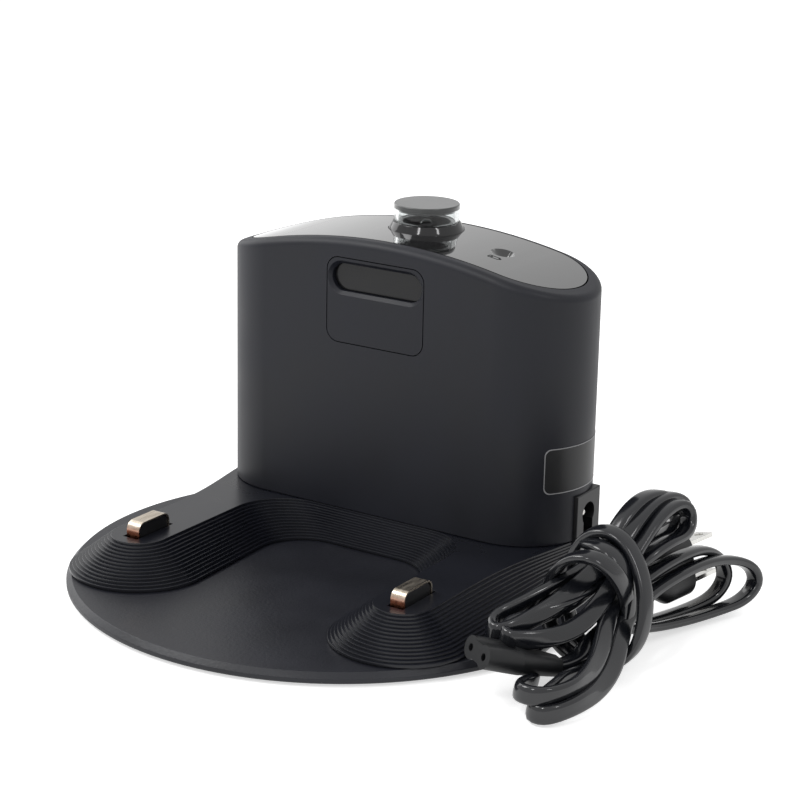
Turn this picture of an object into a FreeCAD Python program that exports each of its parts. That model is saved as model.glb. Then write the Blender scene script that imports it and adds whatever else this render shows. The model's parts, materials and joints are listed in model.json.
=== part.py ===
import FreeCAD, Part
import math
import os

# Robot vacuum charging dock, in millimetres.
# +X is to the right seen from the front, +Y to the back, +Z up.
# The origin lies on the floor, under the middle of the dock.

# Floor plate
BASE_RADIUS = 95.0
BASE_DEPTH = 166.3
PLATE_THICKNESS = 3.6
RIM_BEVEL = 1.8
RIM_UNDER_BEVEL = 0.6

# Rubber feet
FOOT_HEIGHT = 1.0
FOOT_RADIUS = 6.0
FOOT_RECESS = 0.8
FOOT_CLEARANCE = 0.2
FOOT_INSET = 14.0
FOOT_BACK_SPACING = 112.0

# Tower
TOWER_LENGTH = 145.0
TOWER_DEPTH = 50.5
CREST_HEIGHT = 117.3
ARCH_RADIUS = 226.0
WALL = 2.2
TOP_EDGE_RADIUS = 3.0
FOOT_EDGE_CHAMFER = 0.4
ROOF_DEPTH = 5.2

# Raised cover with the two ramps
PLATEAU_RISE = 12.7
RIDGE_COUNT = 14
SEAM = 0.5
COVER_WALL = 2.0
RAMP_END_SETBACK = 62.6
RAMP_TOP_RADIUS = 10.4
RAMP_FOOT_RADIUS = 25.0
ARM_FOOT_HALF = 23.0
CORNER_TOP_RADIUS = 19.5
CORNER_FOOT_RADIUS = 17.0
BAND_WIDTH = 4.4
ARM_WAIST_SETBACK = 12.6
ARM_WAIST_TOP = 66.3
ARM_WAIST_FOOT = 79.3
FLANGE_WIDTH = 8.0

# Charging contacts
CONTACT_SPACING = 110.0
CONTACT_SETBACK = 58.3
CONTACT_WIDTH = 5.4
CONTACT_LENGTH = 17.0
CONTACT_HEIGHT = 5.0
CONTACT_BEND = 3.2
CONTACT_TRAVEL = 3.0
STRIP_THICKNESS = 0.6
STRIP_LEG = 7.0
CARRIER_WIDTH = 9.0
PRESS_ROOM = 0.9
CARRIER_LIP = 0.4
SLIDE_CLEARANCE = 0.35
SLOT_END_ROOM = 1.4
STOP_CLEARANCE = 0.3
GUIDE_WALL = 1.5
GUIDE_LIFT = 2.6
TERMINAL_THICKNESS = 0.5
TERMINAL_TAIL = 6.0
TERMINAL_TAIL_WIDTH = 3.0
SPRING_RADIUS = 2.0
SPRING_WIRE = 0.5
SPRING_TURNS = 5
SPRING_POCKET = 4.6
SPRING_CLEARANCE = 0.35
END_CLEARANCE = 0.05

# Gloss top cover
COVER_END_MARGIN = 5.2
COVER_FRONT_MARGIN = 4.9
COVER_BACK_MARGIN = 3.4
COVER_GROOVE = 0.5
COVER_THICKNESS = 2.4
SEAT_GAP = 0.3

# Beacon on the top cover
BEACON_OFFSET = 7.7
SPOT_FACE = 0.9
COLLAR_RADIUS = 13.6
COLLAR_RIM = 0.6
COLLAR_HEIGHT = 3.5
COLLAR_TOP_RADIUS = 12.1
SPIGOT_RADIUS = 10.0
SPIGOT_WALL = 1.4
SPIGOT_LENGTH = 7.0
LENS_RADIUS = 11.8
LENS_WALL = 1.5
LENS_HEIGHT = 4.8
CAP_THICKNESS = 1.7
CAP_EDGE = 0.5
CAP_PLUG = 1.0
REFLECTOR_RADIUS = 9.2
REFLECTOR_TIP = 0.8
REFLECTOR_HEIGHT = 2.8
EMITTER_RADIUS = 2.5
EMITTER_FLANGE = 0.4
EMITTER_FLANGE_HEIGHT = 1.0
EMITTER_HEIGHT = 11.0
BEACON_BOARD_THICKNESS = 1.2
FIT_CLEARANCE = 0.2

# Indicator lamp in its conical dimple
INDICATOR_X = 36.6
INDICATOR_OFFSET = 0.8
DIMPLE_RADIUS = 4.2
DIMPLE_FLOOR_RADIUS = 1.6
LAMP_RADIUS = 1.5
LAMP_SINK = 2.1
LAMP_LENGTH = 5.0
LAMP_FLANGE = 0.5
LAMP_FLANGE_HEIGHT = 0.8
LAMP_BOSS_WALL = 2.4

# Front panel and infrared window
PANEL_WIDTH = 40.8
PANEL_HEIGHT = 31.2
PANEL_DROP = 6.7
PANEL_CORNER = 5.0
PANEL_GAP = 0.35
PANEL_FLANGE = 1.6
PANEL_FLANGE_THICKNESS = 1.4
WINDOW_WIDTH = 37.4
WINDOW_HEIGHT = 10.0
WINDOW_DROP = 2.5
WINDOW_CHAMFER = 1.2
WINDOW_RECESS = 2.8
WINDOW_GAP = 0.15
WINDOW_FLANGE = 0.8
WINDOW_FLANGE_THICKNESS = 1.2

# Figure-8 mains inlet on the right end
INLET_PROUD = 0.7
INLET_DEPTH = 17.0
INLET_WIDTH = 16.5
INLET_HEIGHT = 24.4
INLET_OFFSET = 2.6
INLET_RISE = 4.9
INLET_EDGE = 0.5
INLET_GAP = 0.15
SOCKET_RADIUS = 4.2
SOCKET_WAIST = 6.4
SOCKET_DEPTH = 12.5
SOCKET_RISE = 11.9
PIN_SPACING = 8.6
PIN_RADIUS = 1.2
PIN_SINK = 1.7
PIN_TAIL = 3.0
PIN_CLEARANCE = 0.05

# Circuit board and what it carries
BOARD_GAP = 10.0
BOARD_THICKNESS = 1.6
BOARD_WIDTH = 110.0
BOARD_RISE = 18.7
BOARD_DROP = 12.7
BOARD_BOSS_RADIUS = 3.0
BOARD_BOSS_SIDE = 7.0
BOARD_BOSS_END = 8.0
TRANSFORMER_WIDTH = 24.0
TRANSFORMER_DEPTH = 18.0
TRANSFORMER_HEIGHT = 21.0
TRANSFORMER_CORE = 3.0
CAPACITOR_RADIUS = 5.0
CAPACITOR_LENGTH = 16.0
CAPACITOR_SPACING = 12.0
RECTIFIER_WIDTH = 14.0
RECTIFIER_DEPTH = 4.5
RECTIFIER_HEIGHT = 11.0
FUSE_RADIUS = 2.6
FUSE_LENGTH = 18.0
FUSE_CLIP = 0.6
EMITTER_SPACING = 18.0
EMITTER_DROP = 3.1
LEAD_RADIUS = 0.8
LEAD_BEND = 6.0
LEAD_RISE = 10.0

# Screws
SCREW_RADIUS = 1.3
SCREW_HEAD_RADIUS = 2.7
SCREW_HEAD_HEIGHT = 1.8
SCREW_BITE = 9.0
SCREW_CLEARANCE = 0.05
SCREW_HOLE_CLEARANCE = 0.3
POST_RADIUS = 3.5
POST_SPACING = 80.0
POST_HEIGHT = 30.0
POST_SETBACK = 2.5
RAMP_SCREW_SETBACK = 26.0
RAMP_SCREW_OFFSET = 5.5

# Mains lead: figure-8 connector and two-blade plug, each at the end of the tied hank
CONNECTOR_FACE = (93.9, -48.4, 16.0)
CONNECTOR_REAR = (108.8, -24.6, 6.8)
CONNECTOR_LONG = 16.0
CONNECTOR_SHORT = 7.6
CONNECTOR_WAIST = 6.0
CONNECTOR_NOSE = 13.0
CONNECTOR_NECK_LONG = 9.0
CONNECTOR_NECK_SHORT = 6.0
CONNECTOR_HOLE_DEPTH = 11.0
PLUG_FRONT = (113.2, 53.7, 18.1)
PLUG_REAR = (111.2, 29.7, 19.2)
PLUG_ROLL = -12.0
PLUG_LONG = 22.0
PLUG_SHORT = 11.0
PLUG_NECK_LONG = 10.0
PLUG_NECK_SHORT = 7.0
PLUG_HEAD = 13.0
BLADE_SPACING = 12.7
BLADE_WIDTH = 6.3
BLADE_THICKNESS = 1.5
BLADE_LENGTH = 17.0
BLADE_HOLE_RADIUS = 1.6
BLADE_HOLE_SETBACK = 4.0
CORD_CLEARANCE = 0.3
# Sections of the hank: distance along Y, middle in X and Z, half width, half height
HANK_SECTIONS = (
    (-57.5, 118.5, 6.0, 6.5, 5.8),
    (-46.0, 115.0, 7.0, 15.0, 6.9),
    (-30.0, 109.5, 11.0, 19.5, 10.8),
    (-12.0, 109.5, 20.6, 16.0, 20.4),
    (8.0, 109.3, 21.8, 16.0, 21.6),
    (26.0, 111.5, 24.6, 14.0, 24.4),
    (44.0, 115.0, 25.0, 11.5, 24.6),
    (54.0, 119.5, 20.0, 9.5, 19.6),
    (66.0, 127.0, 12.0, 7.0, 11.6),
    (74.0, 132.5, 11.0, 2.5, 5.5),
)

# Places that follow from the sizes above
PLATE_TOP = FOOT_HEIGHT + PLATE_THICKNESS
PLATEAU_TOP = PLATE_TOP + PLATEAU_RISE
BACK_Y = BASE_DEPTH / 2
DISC_Y = BASE_RADIUS - BASE_DEPTH / 2
TOWER_Y = BACK_Y - TOWER_DEPTH / 2
TOWER_FRONT = BACK_Y - TOWER_DEPTH
TOWER_END_X = TOWER_LENGTH / 2 - TOWER_DEPTH / 2
CONTACT_X = CONTACT_SPACING / 2
CONTACT_Y = TOWER_FRONT - CONTACT_SETBACK
RAMP_END_Y = TOWER_FRONT - RAMP_END_SETBACK
ARM_WAIST_Y = TOWER_FRONT - ARM_WAIST_SETBACK
COVER_UNDERSIDE = PLATEAU_TOP - COVER_WALL
CARRIER_SHOULDER = COVER_UNDERSIDE - STOP_CLEARANCE
TONGUE_TOP = PLATEAU_TOP + CONTACT_HEIGHT - STRIP_THICKNESS
TERMINAL_TOP = PLATE_TOP + TERMINAL_THICKNESS
CARRIER_FLOOR = TERMINAL_TOP + CONTACT_TRAVEL + PRESS_ROOM
POCKET_TOP = CARRIER_FLOOR + SPRING_POCKET
COVER_LENGTH = TOWER_LENGTH - 2 * COVER_END_MARGIN
COVER_DEPTH = TOWER_DEPTH - COVER_FRONT_MARGIN - COVER_BACK_MARGIN
COVER_Y = TOWER_Y + (COVER_FRONT_MARGIN - COVER_BACK_MARGIN) / 2
BEACON_Y = TOWER_Y + BEACON_OFFSET
COLLAR_FOOT = CREST_HEIGHT - SPOT_FACE
LENS_FOOT = COLLAR_FOOT + COLLAR_HEIGHT
LENS_TOP = LENS_FOOT + LENS_HEIGHT
SPIGOT_END = COLLAR_FOOT - SPIGOT_LENGTH
INDICATOR_Y = TOWER_Y + INDICATOR_OFFSET
PANEL_TOP = CREST_HEIGHT - PANEL_DROP
PANEL_Z = PANEL_TOP - PANEL_HEIGHT / 2
WINDOW_Z = PANEL_TOP - WINDOW_DROP - WINDOW_HEIGHT / 2
INNER_FRONT = TOWER_FRONT + WALL
PANEL_BACK = INNER_FRONT + PANEL_FLANGE_THICKNESS
INLET_FACE_X = TOWER_LENGTH / 2 + INLET_PROUD
INLET_Y = TOWER_Y + INLET_OFFSET
INLET_LOW = PLATE_TOP + INLET_RISE
INLET_TOP = INLET_LOW + INLET_HEIGHT
SOCKET_Z = INLET_LOW + SOCKET_RISE
BOARD_FRONT = INNER_FRONT + BOARD_GAP
BOARD_REAR = BOARD_FRONT + BOARD_THICKNESS
BOARD_LOW = PLATEAU_TOP + BOARD_RISE
BOARD_HIGH = CREST_HEIGHT - BOARD_DROP
BOARD_BOSS_X = BOARD_WIDTH / 2 - BOARD_BOSS_SIDE
BOARD_MIDDLE = (BOARD_LOW + BOARD_HIGH) / 2
EMITTER_Z = BOARD_HIGH - EMITTER_DROP
FAR = 400.0
NEAR = 0.01


def vec(x, y, z=0.0):
    return FreeCAD.Vector(x, y, z)


def box(x_range, y_range, z_range):
    size = (x_range[1] - x_range[0], y_range[1] - y_range[0], z_range[1] - z_range[0])
    return Part.makeBox(*size, vec(x_range[0], y_range[0], z_range[0]))


def middle_box(x, y, width, depth, z_range):
    return box((x - width / 2, x + width / 2), (y - depth / 2, y + depth / 2), z_range)


def upright(x, y, radius, z_range):
    return Part.makeCylinder(radius, z_range[1] - z_range[0], vec(x, y, z_range[0]))


def along_y(x, z, radius, y_range):
    return Part.makeCylinder(radius, y_range[1] - y_range[0], vec(x, y_range[0], z), vec(0, 1, 0))


def along_x(y, z, radius, x_range):
    return Part.makeCylinder(radius, x_range[1] - x_range[0], vec(x_range[0], y, z), vec(1, 0, 0))


def prism(wire, z_range):
    face = Part.Face(wire)
    face.translate(vec(0, 0, z_range[0]))
    return face.extrude(vec(0, 0, z_range[1] - z_range[0]))


def joined(solids):
    return solids[0].multiFuse(solids[1:]).removeSplitter()


def arc_point(centre, radius, angle):
    return centre + vec(radius * math.cos(angle), radius * math.sin(angle))


def arc(centre, radius, start, end):
    middle = (start + end) / 2
    points = [arc_point(centre, radius, angle) for angle in (start, middle, end)]
    return Part.Arc(*points).toShape()


def round_slot(width, height, x=0.0, z=0.0, depth=1.0):
    """Slot with full-round ends, wide along X, drawn in the XZ plane and pushed back along Y."""
    reach = width / 2 - height / 2
    bar = box((x - reach, x + reach), (0, depth), (z - height / 2, z + height / 2))
    ends = [along_y(x + side * reach, z, height / 2, (0, depth)) for side in (-1, 1)]
    return joined([bar] + ends)


def round_edges(shape, z):
    """Round edges of a shape that lie level at height z."""
    level = [edge for edge in shape.Edges if abs(edge.CenterOfMass.z - z) < NEAR]
    return [edge for edge in level if isinstance(edge.Curve, Part.Circle)]


def moved(shape, x=0.0, y=0.0, z=0.0):
    copy = shape.copy()
    copy.translate(vec(x, y, z))
    return copy


def stadium(length, depth, y):
    """Outline with two straight sides and full-round ends, seen from above and centred on X = 0."""
    radius = depth / 2
    right = vec(length / 2 - radius, y)
    left = vec(radius - length / 2, y)
    quarter = math.pi / 2
    edges = [
        arc(right, radius, -quarter, quarter),
        Part.makeLine(right + vec(0, radius), left + vec(0, radius)),
        arc(left, radius, quarter, 3 * quarter),
        Part.makeLine(left - vec(0, radius), right - vec(0, radius)),
    ]
    return Part.Wire(edges)


def tower_outline(inset):
    return stadium(TOWER_LENGTH - 2 * inset, TOWER_DEPTH - 2 * inset, TOWER_Y)


def cover_outline(inset):
    return stadium(COVER_LENGTH - 2 * inset, COVER_DEPTH - 2 * inset, COVER_Y)


def under_arch(drop):
    """All that lies under the arched top surface lowered by drop."""
    start = vec(0, TOWER_Y - FAR / 2, CREST_HEIGHT - ARCH_RADIUS)
    return Part.makeCylinder(ARCH_RADIUS - drop, FAR, start, vec(0, 1, 0))


def arch_height(x):
    return CREST_HEIGHT - ARCH_RADIUS + math.sqrt(ARCH_RADIUS ** 2 - x ** 2)


def blend(top, foot, share):
    return top + (foot - top) * share


def ramp_half(side, share, inset):
    """Edges of one half of the raised cover's outline: share is 0 at its top and 1 at its foot."""
    end_radius = blend(RAMP_TOP_RADIUS, RAMP_FOOT_RADIUS, share) - inset
    corner_radius = blend(CORNER_TOP_RADIUS, CORNER_FOOT_RADIUS, share)
    arm_inside = CONTACT_X - blend(RAMP_TOP_RADIUS, ARM_FOOT_HALF, share)
    band_y = TOWER_FRONT - BAND_WIDTH * share
    corner = vec(arm_inside - corner_radius, band_y - corner_radius)
    corner_radius = corner_radius + inset
    end = vec(CONTACT_X, RAMP_END_Y)
    reach = end - corner
    turn = math.acos((corner_radius + end_radius) / reach.Length)
    facing = math.atan2(reach.y, reach.x) + turn
    tower_end = vec(TOWER_END_X, TOWER_Y)
    round_radius = TOWER_DEPTH / 2 + BAND_WIDTH * share - inset
    join_angle = math.radians(-8)
    back_angle = math.asin((TOWER_DEPTH / 2 - inset) / round_radius)
    band_start = vec(0, corner.y + corner_radius)
    corner_start = arc_point(corner, corner_radius, math.pi / 2)
    waist = vec(blend(ARM_WAIST_TOP, ARM_WAIST_FOOT, share) - inset, ARM_WAIST_Y)
    outside = Part.BSplineCurve()
    outside.interpolate(
        Points=[arc_point(end, end_radius, 0), waist, arc_point(tower_end, round_radius, join_angle)],
        InitialTangent=vec(0, 1),
        FinalTangent=vec(-math.sin(join_angle), math.cos(join_angle)),
    )
    back = arc_point(tower_end, round_radius, back_angle)
    edges = [
        Part.makeLine(band_start, corner_start),
        arc(corner, corner_radius, math.pi / 2, facing),
        Part.makeLine(arc_point(corner, corner_radius, facing), arc_point(end, -end_radius, facing)),
        arc(end, end_radius, facing - math.pi, 0),
        outside.toShape(),
        arc(tower_end, round_radius, join_angle, back_angle),
        Part.makeLine(back, vec(0, back.y)),
    ]
    if side > 0:
        return edges
    return [edge.mirror(vec(0, 0), vec(1, 0)) for edge in edges]


def ramp_outline(share, inset=0.0):
    edges = ramp_half(1, share, inset) + ramp_half(-1, share, inset)
    return Part.Wire(Part.__sortEdges__(edges))


def foot_places():
    ring = BASE_RADIUS - FOOT_INSET
    front = [(ring * math.sin(a), DISC_Y - ring * math.cos(a)) for a in map(math.radians, (-62, 0, 62))]
    back = [(side * FOOT_BACK_SPACING / 2, BACK_Y - FOOT_INSET) for side in (-1, 1)]
    return front + back


def post_places():
    rows = (INNER_FRONT + POST_SETBACK, BACK_Y - WALL - POST_SETBACK)
    return [(side * POST_SPACING / 2, y) for side in (-1, 1) for y in rows]


def ramp_screw_places():
    x = CONTACT_X + RAMP_SCREW_OFFSET
    return [(side * x, TOWER_FRONT - RAMP_SCREW_SETBACK) for side in (-1, 1)]


def base_plate():
    disc = upright(0, DISC_Y, BASE_RADIUS, (FOOT_HEIGHT, PLATE_TOP))
    plate = disc.common(box((-FAR, FAR), (-FAR, BACK_Y), (0, FAR)))
    plate = plate.makeChamfer(RIM_BEVEL, round_edges(plate, PLATE_TOP))
    plate = plate.makeChamfer(RIM_UNDER_BEVEL, round_edges(plate, FOOT_HEIGHT))
    cuts = []
    for x, y in foot_places():
        cuts.append(upright(x, y, FOOT_RADIUS + FOOT_CLEARANCE, (0, FOOT_HEIGHT + FOOT_RECESS)))
    for x, y in post_places() + ramp_screw_places():
        head_top = FOOT_HEIGHT + SCREW_HEAD_HEIGHT
        cuts.append(upright(x, y, SCREW_HEAD_RADIUS + SCREW_HOLE_CLEARANCE, (0, head_top)))
        cuts.append(upright(x, y, SCREW_RADIUS + SCREW_HOLE_CLEARANCE, (0, PLATE_TOP)))
    return plate.cut(cuts)


def rubber_feet():
    top = FOOT_HEIGHT + FOOT_RECESS
    return Part.makeCompound([upright(x, y, FOOT_RADIUS, (0, top)) for x, y in foot_places()])


def ridged_body():
    rise = (PLATEAU_RISE - SEAM) / RIDGE_COUNT
    layers = [prism(ramp_outline(1, SEAM), (PLATE_TOP, PLATE_TOP + SEAM))]
    for ridge in range(RIDGE_COUNT):
        share = 1 - ridge / (RIDGE_COUNT - 1)
        low = PLATE_TOP + SEAM + ridge * rise
        layers.append(prism(ramp_outline(share), (low, low + rise)))
    return layers[0].multiFuse(layers[1:])


def ramp_hollow():
    """Space under the raised cover, in three steps that follow its flanks."""
    steps = 3
    height = COVER_UNDERSIDE - PLATE_TOP
    layers = []
    for step in range(steps):
        low = PLATE_TOP + height * step / steps
        high = PLATE_TOP + height * (step + 1) / steps
        share = 1 - (high - PLATE_TOP) / PLATEAU_RISE
        layers.append(prism(ramp_outline(share, COVER_WALL), (low, high)))
    return layers[0].multiFuse(layers[1:])


def contact_guide(x):
    """Walls that keep one contact carrier upright."""
    width = CARRIER_WIDTH + 2 * SLIDE_CLEARANCE
    length = CONTACT_LENGTH + 2 * SLIDE_CLEARANCE
    heights = (PLATE_TOP + GUIDE_LIFT, COVER_UNDERSIDE)
    outer = middle_box(x, CONTACT_Y, width + 2 * GUIDE_WALL, length + 2 * GUIDE_WALL, heights)
    return outer.cut(middle_box(x, CONTACT_Y, width, length, heights))


def inlet_notch():
    half = INLET_WIDTH / 2 + INLET_GAP
    back = INLET_FACE_X - INLET_DEPTH - INLET_GAP
    low = INLET_LOW - INLET_GAP
    return box((back, FAR), (INLET_Y - half, INLET_Y + half), (low, INLET_TOP + INLET_GAP))


def ramp_cover():
    cover = ridged_body().cut(ramp_hollow())
    cover = cover.cut(prism(tower_outline(FLANGE_WIDTH), (PLATE_TOP, PLATEAU_TOP)))
    bosses = [upright(x, y, POST_RADIUS, (PLATE_TOP, COVER_UNDERSIDE)) for x, y in post_places()]
    bosses += [upright(x, y, POST_RADIUS, (PLATE_TOP, PLATEAU_TOP)) for x, y in ramp_screw_places()]
    guides = [contact_guide(side * CONTACT_X) for side in (-1, 1)]
    cover = cover.multiFuse(bosses + guides)
    cuts = [inlet_notch()]
    for x, y in post_places():
        cuts.append(upright(x, y, SCREW_RADIUS + SCREW_HOLE_CLEARANCE, (PLATE_TOP, PLATEAU_TOP)))
    for x, y in ramp_screw_places():
        tip = PLATE_TOP + SCREW_BITE + SCREW_CLEARANCE
        cuts.append(upright(x, y, SCREW_RADIUS + SCREW_CLEARANCE, (PLATE_TOP, tip)))
    for side in (-1, 1):
        width = CONTACT_WIDTH + 2 * SLIDE_CLEARANCE
        length = CONTACT_LENGTH + 2 * SLOT_END_ROOM
        heights = (COVER_UNDERSIDE, PLATEAU_TOP)
        cuts.append(middle_box(side * CONTACT_X, CONTACT_Y, width, length, heights))
    return cover.cut(cuts)


def tower_block():
    """Outside of the tower, with its rounded top edge and eased foot edge."""
    block = prism(tower_outline(0), (PLATEAU_TOP, CREST_HEIGHT + FAR)).common(under_arch(0))
    low_top = arch_height(TOWER_LENGTH / 2)
    top = [edge for edge in block.Edges if edge.BoundBox.ZMin > low_top - 1]
    block = block.makeFillet(TOP_EDGE_RADIUS, top)
    foot = [edge for edge in block.Edges if edge.BoundBox.ZMax < PLATEAU_TOP + NEAR]
    return block.makeChamfer(FOOT_EDGE_CHAMFER, foot)


def panel_plate(width, height, corner, y_range, z):
    plate = box((-width / 2, width / 2), y_range, (z - height / 2, z + height / 2))
    corners = [edge for edge in plate.Edges if abs(edge.tangentAt(edge.FirstParameter).y) > 0.99]
    return plate.makeFillet(corner, corners)


def board_boss_places():
    heights = (BOARD_LOW + BOARD_BOSS_END, BOARD_HIGH - BOARD_BOSS_END)
    return [(side * BOARD_BOSS_X, z) for side in (-1, 1) for z in heights]


def lamp_seat():
    """Height of the flat face under the roof that the indicator lamp's flange meets."""
    return arch_height(INDICATOR_X) - LAMP_SINK - LAMP_LENGTH + LAMP_FLANGE_HEIGHT


def tower_shell():
    inside = prism(tower_outline(WALL), (PLATEAU_TOP, CREST_HEIGHT + FAR))
    shell = tower_block().cut(inside.common(under_arch(ROOF_DEPTH)))
    lamp_boss = upright(INDICATOR_X, INDICATOR_Y, LAMP_RADIUS + LAMP_BOSS_WALL, (lamp_seat(), CREST_HEIGHT))
    extras = [lamp_boss.common(under_arch(ROOF_DEPTH - WALL / 2))]
    for x, y in post_places():
        extras.append(upright(x, y, POST_RADIUS, (PLATEAU_TOP, PLATEAU_TOP + POST_HEIGHT)))
    for x, z in board_boss_places():
        extras.append(along_y(x, z, BOARD_BOSS_RADIUS, (INNER_FRONT - WALL / 2, BOARD_FRONT)))
    shell = shell.multiFuse(extras)
    pocket = prism(cover_outline(0), (PLATEAU_TOP, CREST_HEIGHT + FAR))
    cuts = [pocket.cut(under_arch(COVER_THICKNESS + SEAT_GAP))]
    cuts.append(upright(0, BEACON_Y, SPIGOT_RADIUS + FIT_CLEARANCE, (SPIGOT_END, CREST_HEIGHT)))
    lamp_hole = LAMP_RADIUS + FIT_CLEARANCE
    cuts.append(upright(INDICATOR_X, INDICATOR_Y, lamp_hole, (lamp_seat(), CREST_HEIGHT)))
    through = (TOWER_FRONT - WALL, INNER_FRONT + WALL)
    cuts.append(panel_plate(PANEL_WIDTH, PANEL_HEIGHT, PANEL_CORNER, through, PANEL_Z))
    cuts.append(inlet_notch())
    for x, y in post_places():
        tip = PLATEAU_TOP + SCREW_BITE + SCREW_CLEARANCE
        cuts.append(upright(x, y, SCREW_RADIUS + SCREW_CLEARANCE, (PLATEAU_TOP, tip)))
    for x, z in board_boss_places():
        tip = BOARD_FRONT - SCREW_BITE - SCREW_CLEARANCE
        cuts.append(along_y(x, z, SCREW_RADIUS + SCREW_CLEARANCE, (tip, BOARD_FRONT)))
    return shell.cut(cuts)


def top_cover():
    blank = prism(cover_outline(COVER_GROOVE), (PLATEAU_TOP, CREST_HEIGHT + FAR))
    cover = blank.common(under_arch(0)).cut(under_arch(COVER_THICKNESS))
    spot = upright(0, BEACON_Y, COLLAR_RADIUS + FIT_CLEARANCE, (COLLAR_FOOT, CREST_HEIGHT + 1))
    hole = upright(0, BEACON_Y, SPIGOT_RADIUS + FIT_CLEARANCE, (SPIGOT_END, CREST_HEIGHT))
    top = arch_height(INDICATOR_X)
    place = vec(INDICATOR_X, INDICATOR_Y, top - COVER_THICKNESS)
    slope = (DIMPLE_RADIUS - DIMPLE_FLOOR_RADIUS) / COVER_THICKNESS
    rise = 1.5 * COVER_THICKNESS
    dimple = Part.makeCone(DIMPLE_FLOOR_RADIUS, DIMPLE_FLOOR_RADIUS + slope * rise, rise, place)
    drill = upright(INDICATOR_X, INDICATOR_Y, DIMPLE_FLOOR_RADIUS, (top - 2 * COVER_THICKNESS, top))
    return cover.cut([spot, hole, dimple, drill])


def beacon_collar():
    rim_top = COLLAR_FOOT + COLLAR_RIM
    rim = upright(0, BEACON_Y, COLLAR_RADIUS, (COLLAR_FOOT, rim_top))
    place = vec(0, BEACON_Y, rim_top)
    flare = Part.makeCone(COLLAR_RADIUS, COLLAR_TOP_RADIUS, COLLAR_HEIGHT - COLLAR_RIM, place)
    spigot = upright(0, BEACON_Y, SPIGOT_RADIUS, (SPIGOT_END, COLLAR_FOOT))
    bore = upright(0, BEACON_Y, SPIGOT_RADIUS - SPIGOT_WALL, (SPIGOT_END, LENS_FOOT))
    return joined([rim, flare, spigot]).cut(bore)


def beacon_lens():
    ring = upright(0, BEACON_Y, LENS_RADIUS, (LENS_FOOT, LENS_TOP))
    return ring.cut(upright(0, BEACON_Y, LENS_RADIUS - LENS_WALL, (LENS_FOOT, LENS_TOP)))


def beacon_cap():
    disc = upright(0, BEACON_Y, LENS_RADIUS, (LENS_TOP, LENS_TOP + CAP_THICKNESS))
    edge = round_edges(disc, LENS_TOP + CAP_THICKNESS)
    plug = upright(0, BEACON_Y, LENS_RADIUS - LENS_WALL - FIT_CLEARANCE, (LENS_TOP - CAP_PLUG, LENS_TOP))
    return disc.makeFillet(CAP_EDGE, edge).fuse(plug).removeSplitter()


def beacon_reflector():
    foot = vec(0, BEACON_Y, LENS_TOP - CAP_PLUG - REFLECTOR_HEIGHT)
    return Part.makeCone(REFLECTOR_TIP, REFLECTOR_RADIUS, REFLECTOR_HEIGHT, foot)


def beacon_emitter():
    foot = SPIGOT_END
    flange = upright(0, BEACON_Y, EMITTER_RADIUS + EMITTER_FLANGE, (foot, foot + EMITTER_FLANGE_HEIGHT))
    top = foot + EMITTER_HEIGHT - EMITTER_RADIUS
    body = upright(0, BEACON_Y, EMITTER_RADIUS, (foot, top))
    dome = Part.makeSphere(EMITTER_RADIUS, vec(0, BEACON_Y, top))
    return joined([flange, body, dome])


def beacon_board():
    return upright(0, BEACON_Y, SPIGOT_RADIUS, (SPIGOT_END - BEACON_BOARD_THICKNESS, SPIGOT_END))


def indicator_led():
    top = arch_height(INDICATOR_X) - LAMP_SINK - LAMP_RADIUS
    seat = lamp_seat()
    body = upright(INDICATOR_X, INDICATOR_Y, LAMP_RADIUS, (seat - LAMP_FLANGE_HEIGHT, top))
    flange = upright(INDICATOR_X, INDICATOR_Y, LAMP_RADIUS + LAMP_FLANGE, (seat - LAMP_FLANGE_HEIGHT, seat))
    dome = Part.makeSphere(LAMP_RADIUS, vec(INDICATOR_X, INDICATOR_Y, top))
    return joined([body, flange, dome])


def window_bezel():
    width = PANEL_WIDTH - 2 * PANEL_GAP
    height = PANEL_HEIGHT - 2 * PANEL_GAP
    plate = panel_plate(width, height, PANEL_CORNER - PANEL_GAP, (TOWER_FRONT, INNER_FRONT), PANEL_Z)
    flange_low = PANEL_TOP - PANEL_HEIGHT - PANEL_FLANGE
    flange_height = PANEL_TOP - PANEL_GAP - flange_low
    flange = middle_box(
        0,
        (INNER_FRONT + PANEL_BACK) / 2,
        PANEL_WIDTH + 2 * PANEL_FLANGE,
        PANEL_FLANGE_THICKNESS,
        (flange_low, flange_low + flange_height),
    )
    bezel = joined([plate, flange])
    slot = round_slot(WINDOW_WIDTH, WINDOW_HEIGHT, 0, WINDOW_Z, PANEL_BACK - TOWER_FRONT)
    bezel = bezel.cut(moved(slot, y=TOWER_FRONT))
    mouth = [edge for edge in bezel.Edges if edge.BoundBox.YMax < TOWER_FRONT + NEAR]
    reach = (WINDOW_WIDTH - WINDOW_HEIGHT) / 2
    rim = [edge for edge in mouth if all(abs(abs(v.X) - reach) < NEAR for v in edge.Vertexes)]
    return bezel.makeChamfer(WINDOW_CHAMFER, rim)


def ir_window():
    gap = 2 * WINDOW_GAP
    pane_depth = PANEL_BACK - TOWER_FRONT - WINDOW_RECESS
    pane = round_slot(WINDOW_WIDTH - gap, WINDOW_HEIGHT - gap, 0, WINDOW_Z, pane_depth)
    spread = 2 * WINDOW_FLANGE
    flange = round_slot(WINDOW_WIDTH + spread, WINDOW_HEIGHT + spread, 0, WINDOW_Z, WINDOW_FLANGE_THICKNESS)
    return joined([moved(pane, y=PANEL_BACK - pane_depth), moved(flange, y=PANEL_BACK)])


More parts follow.
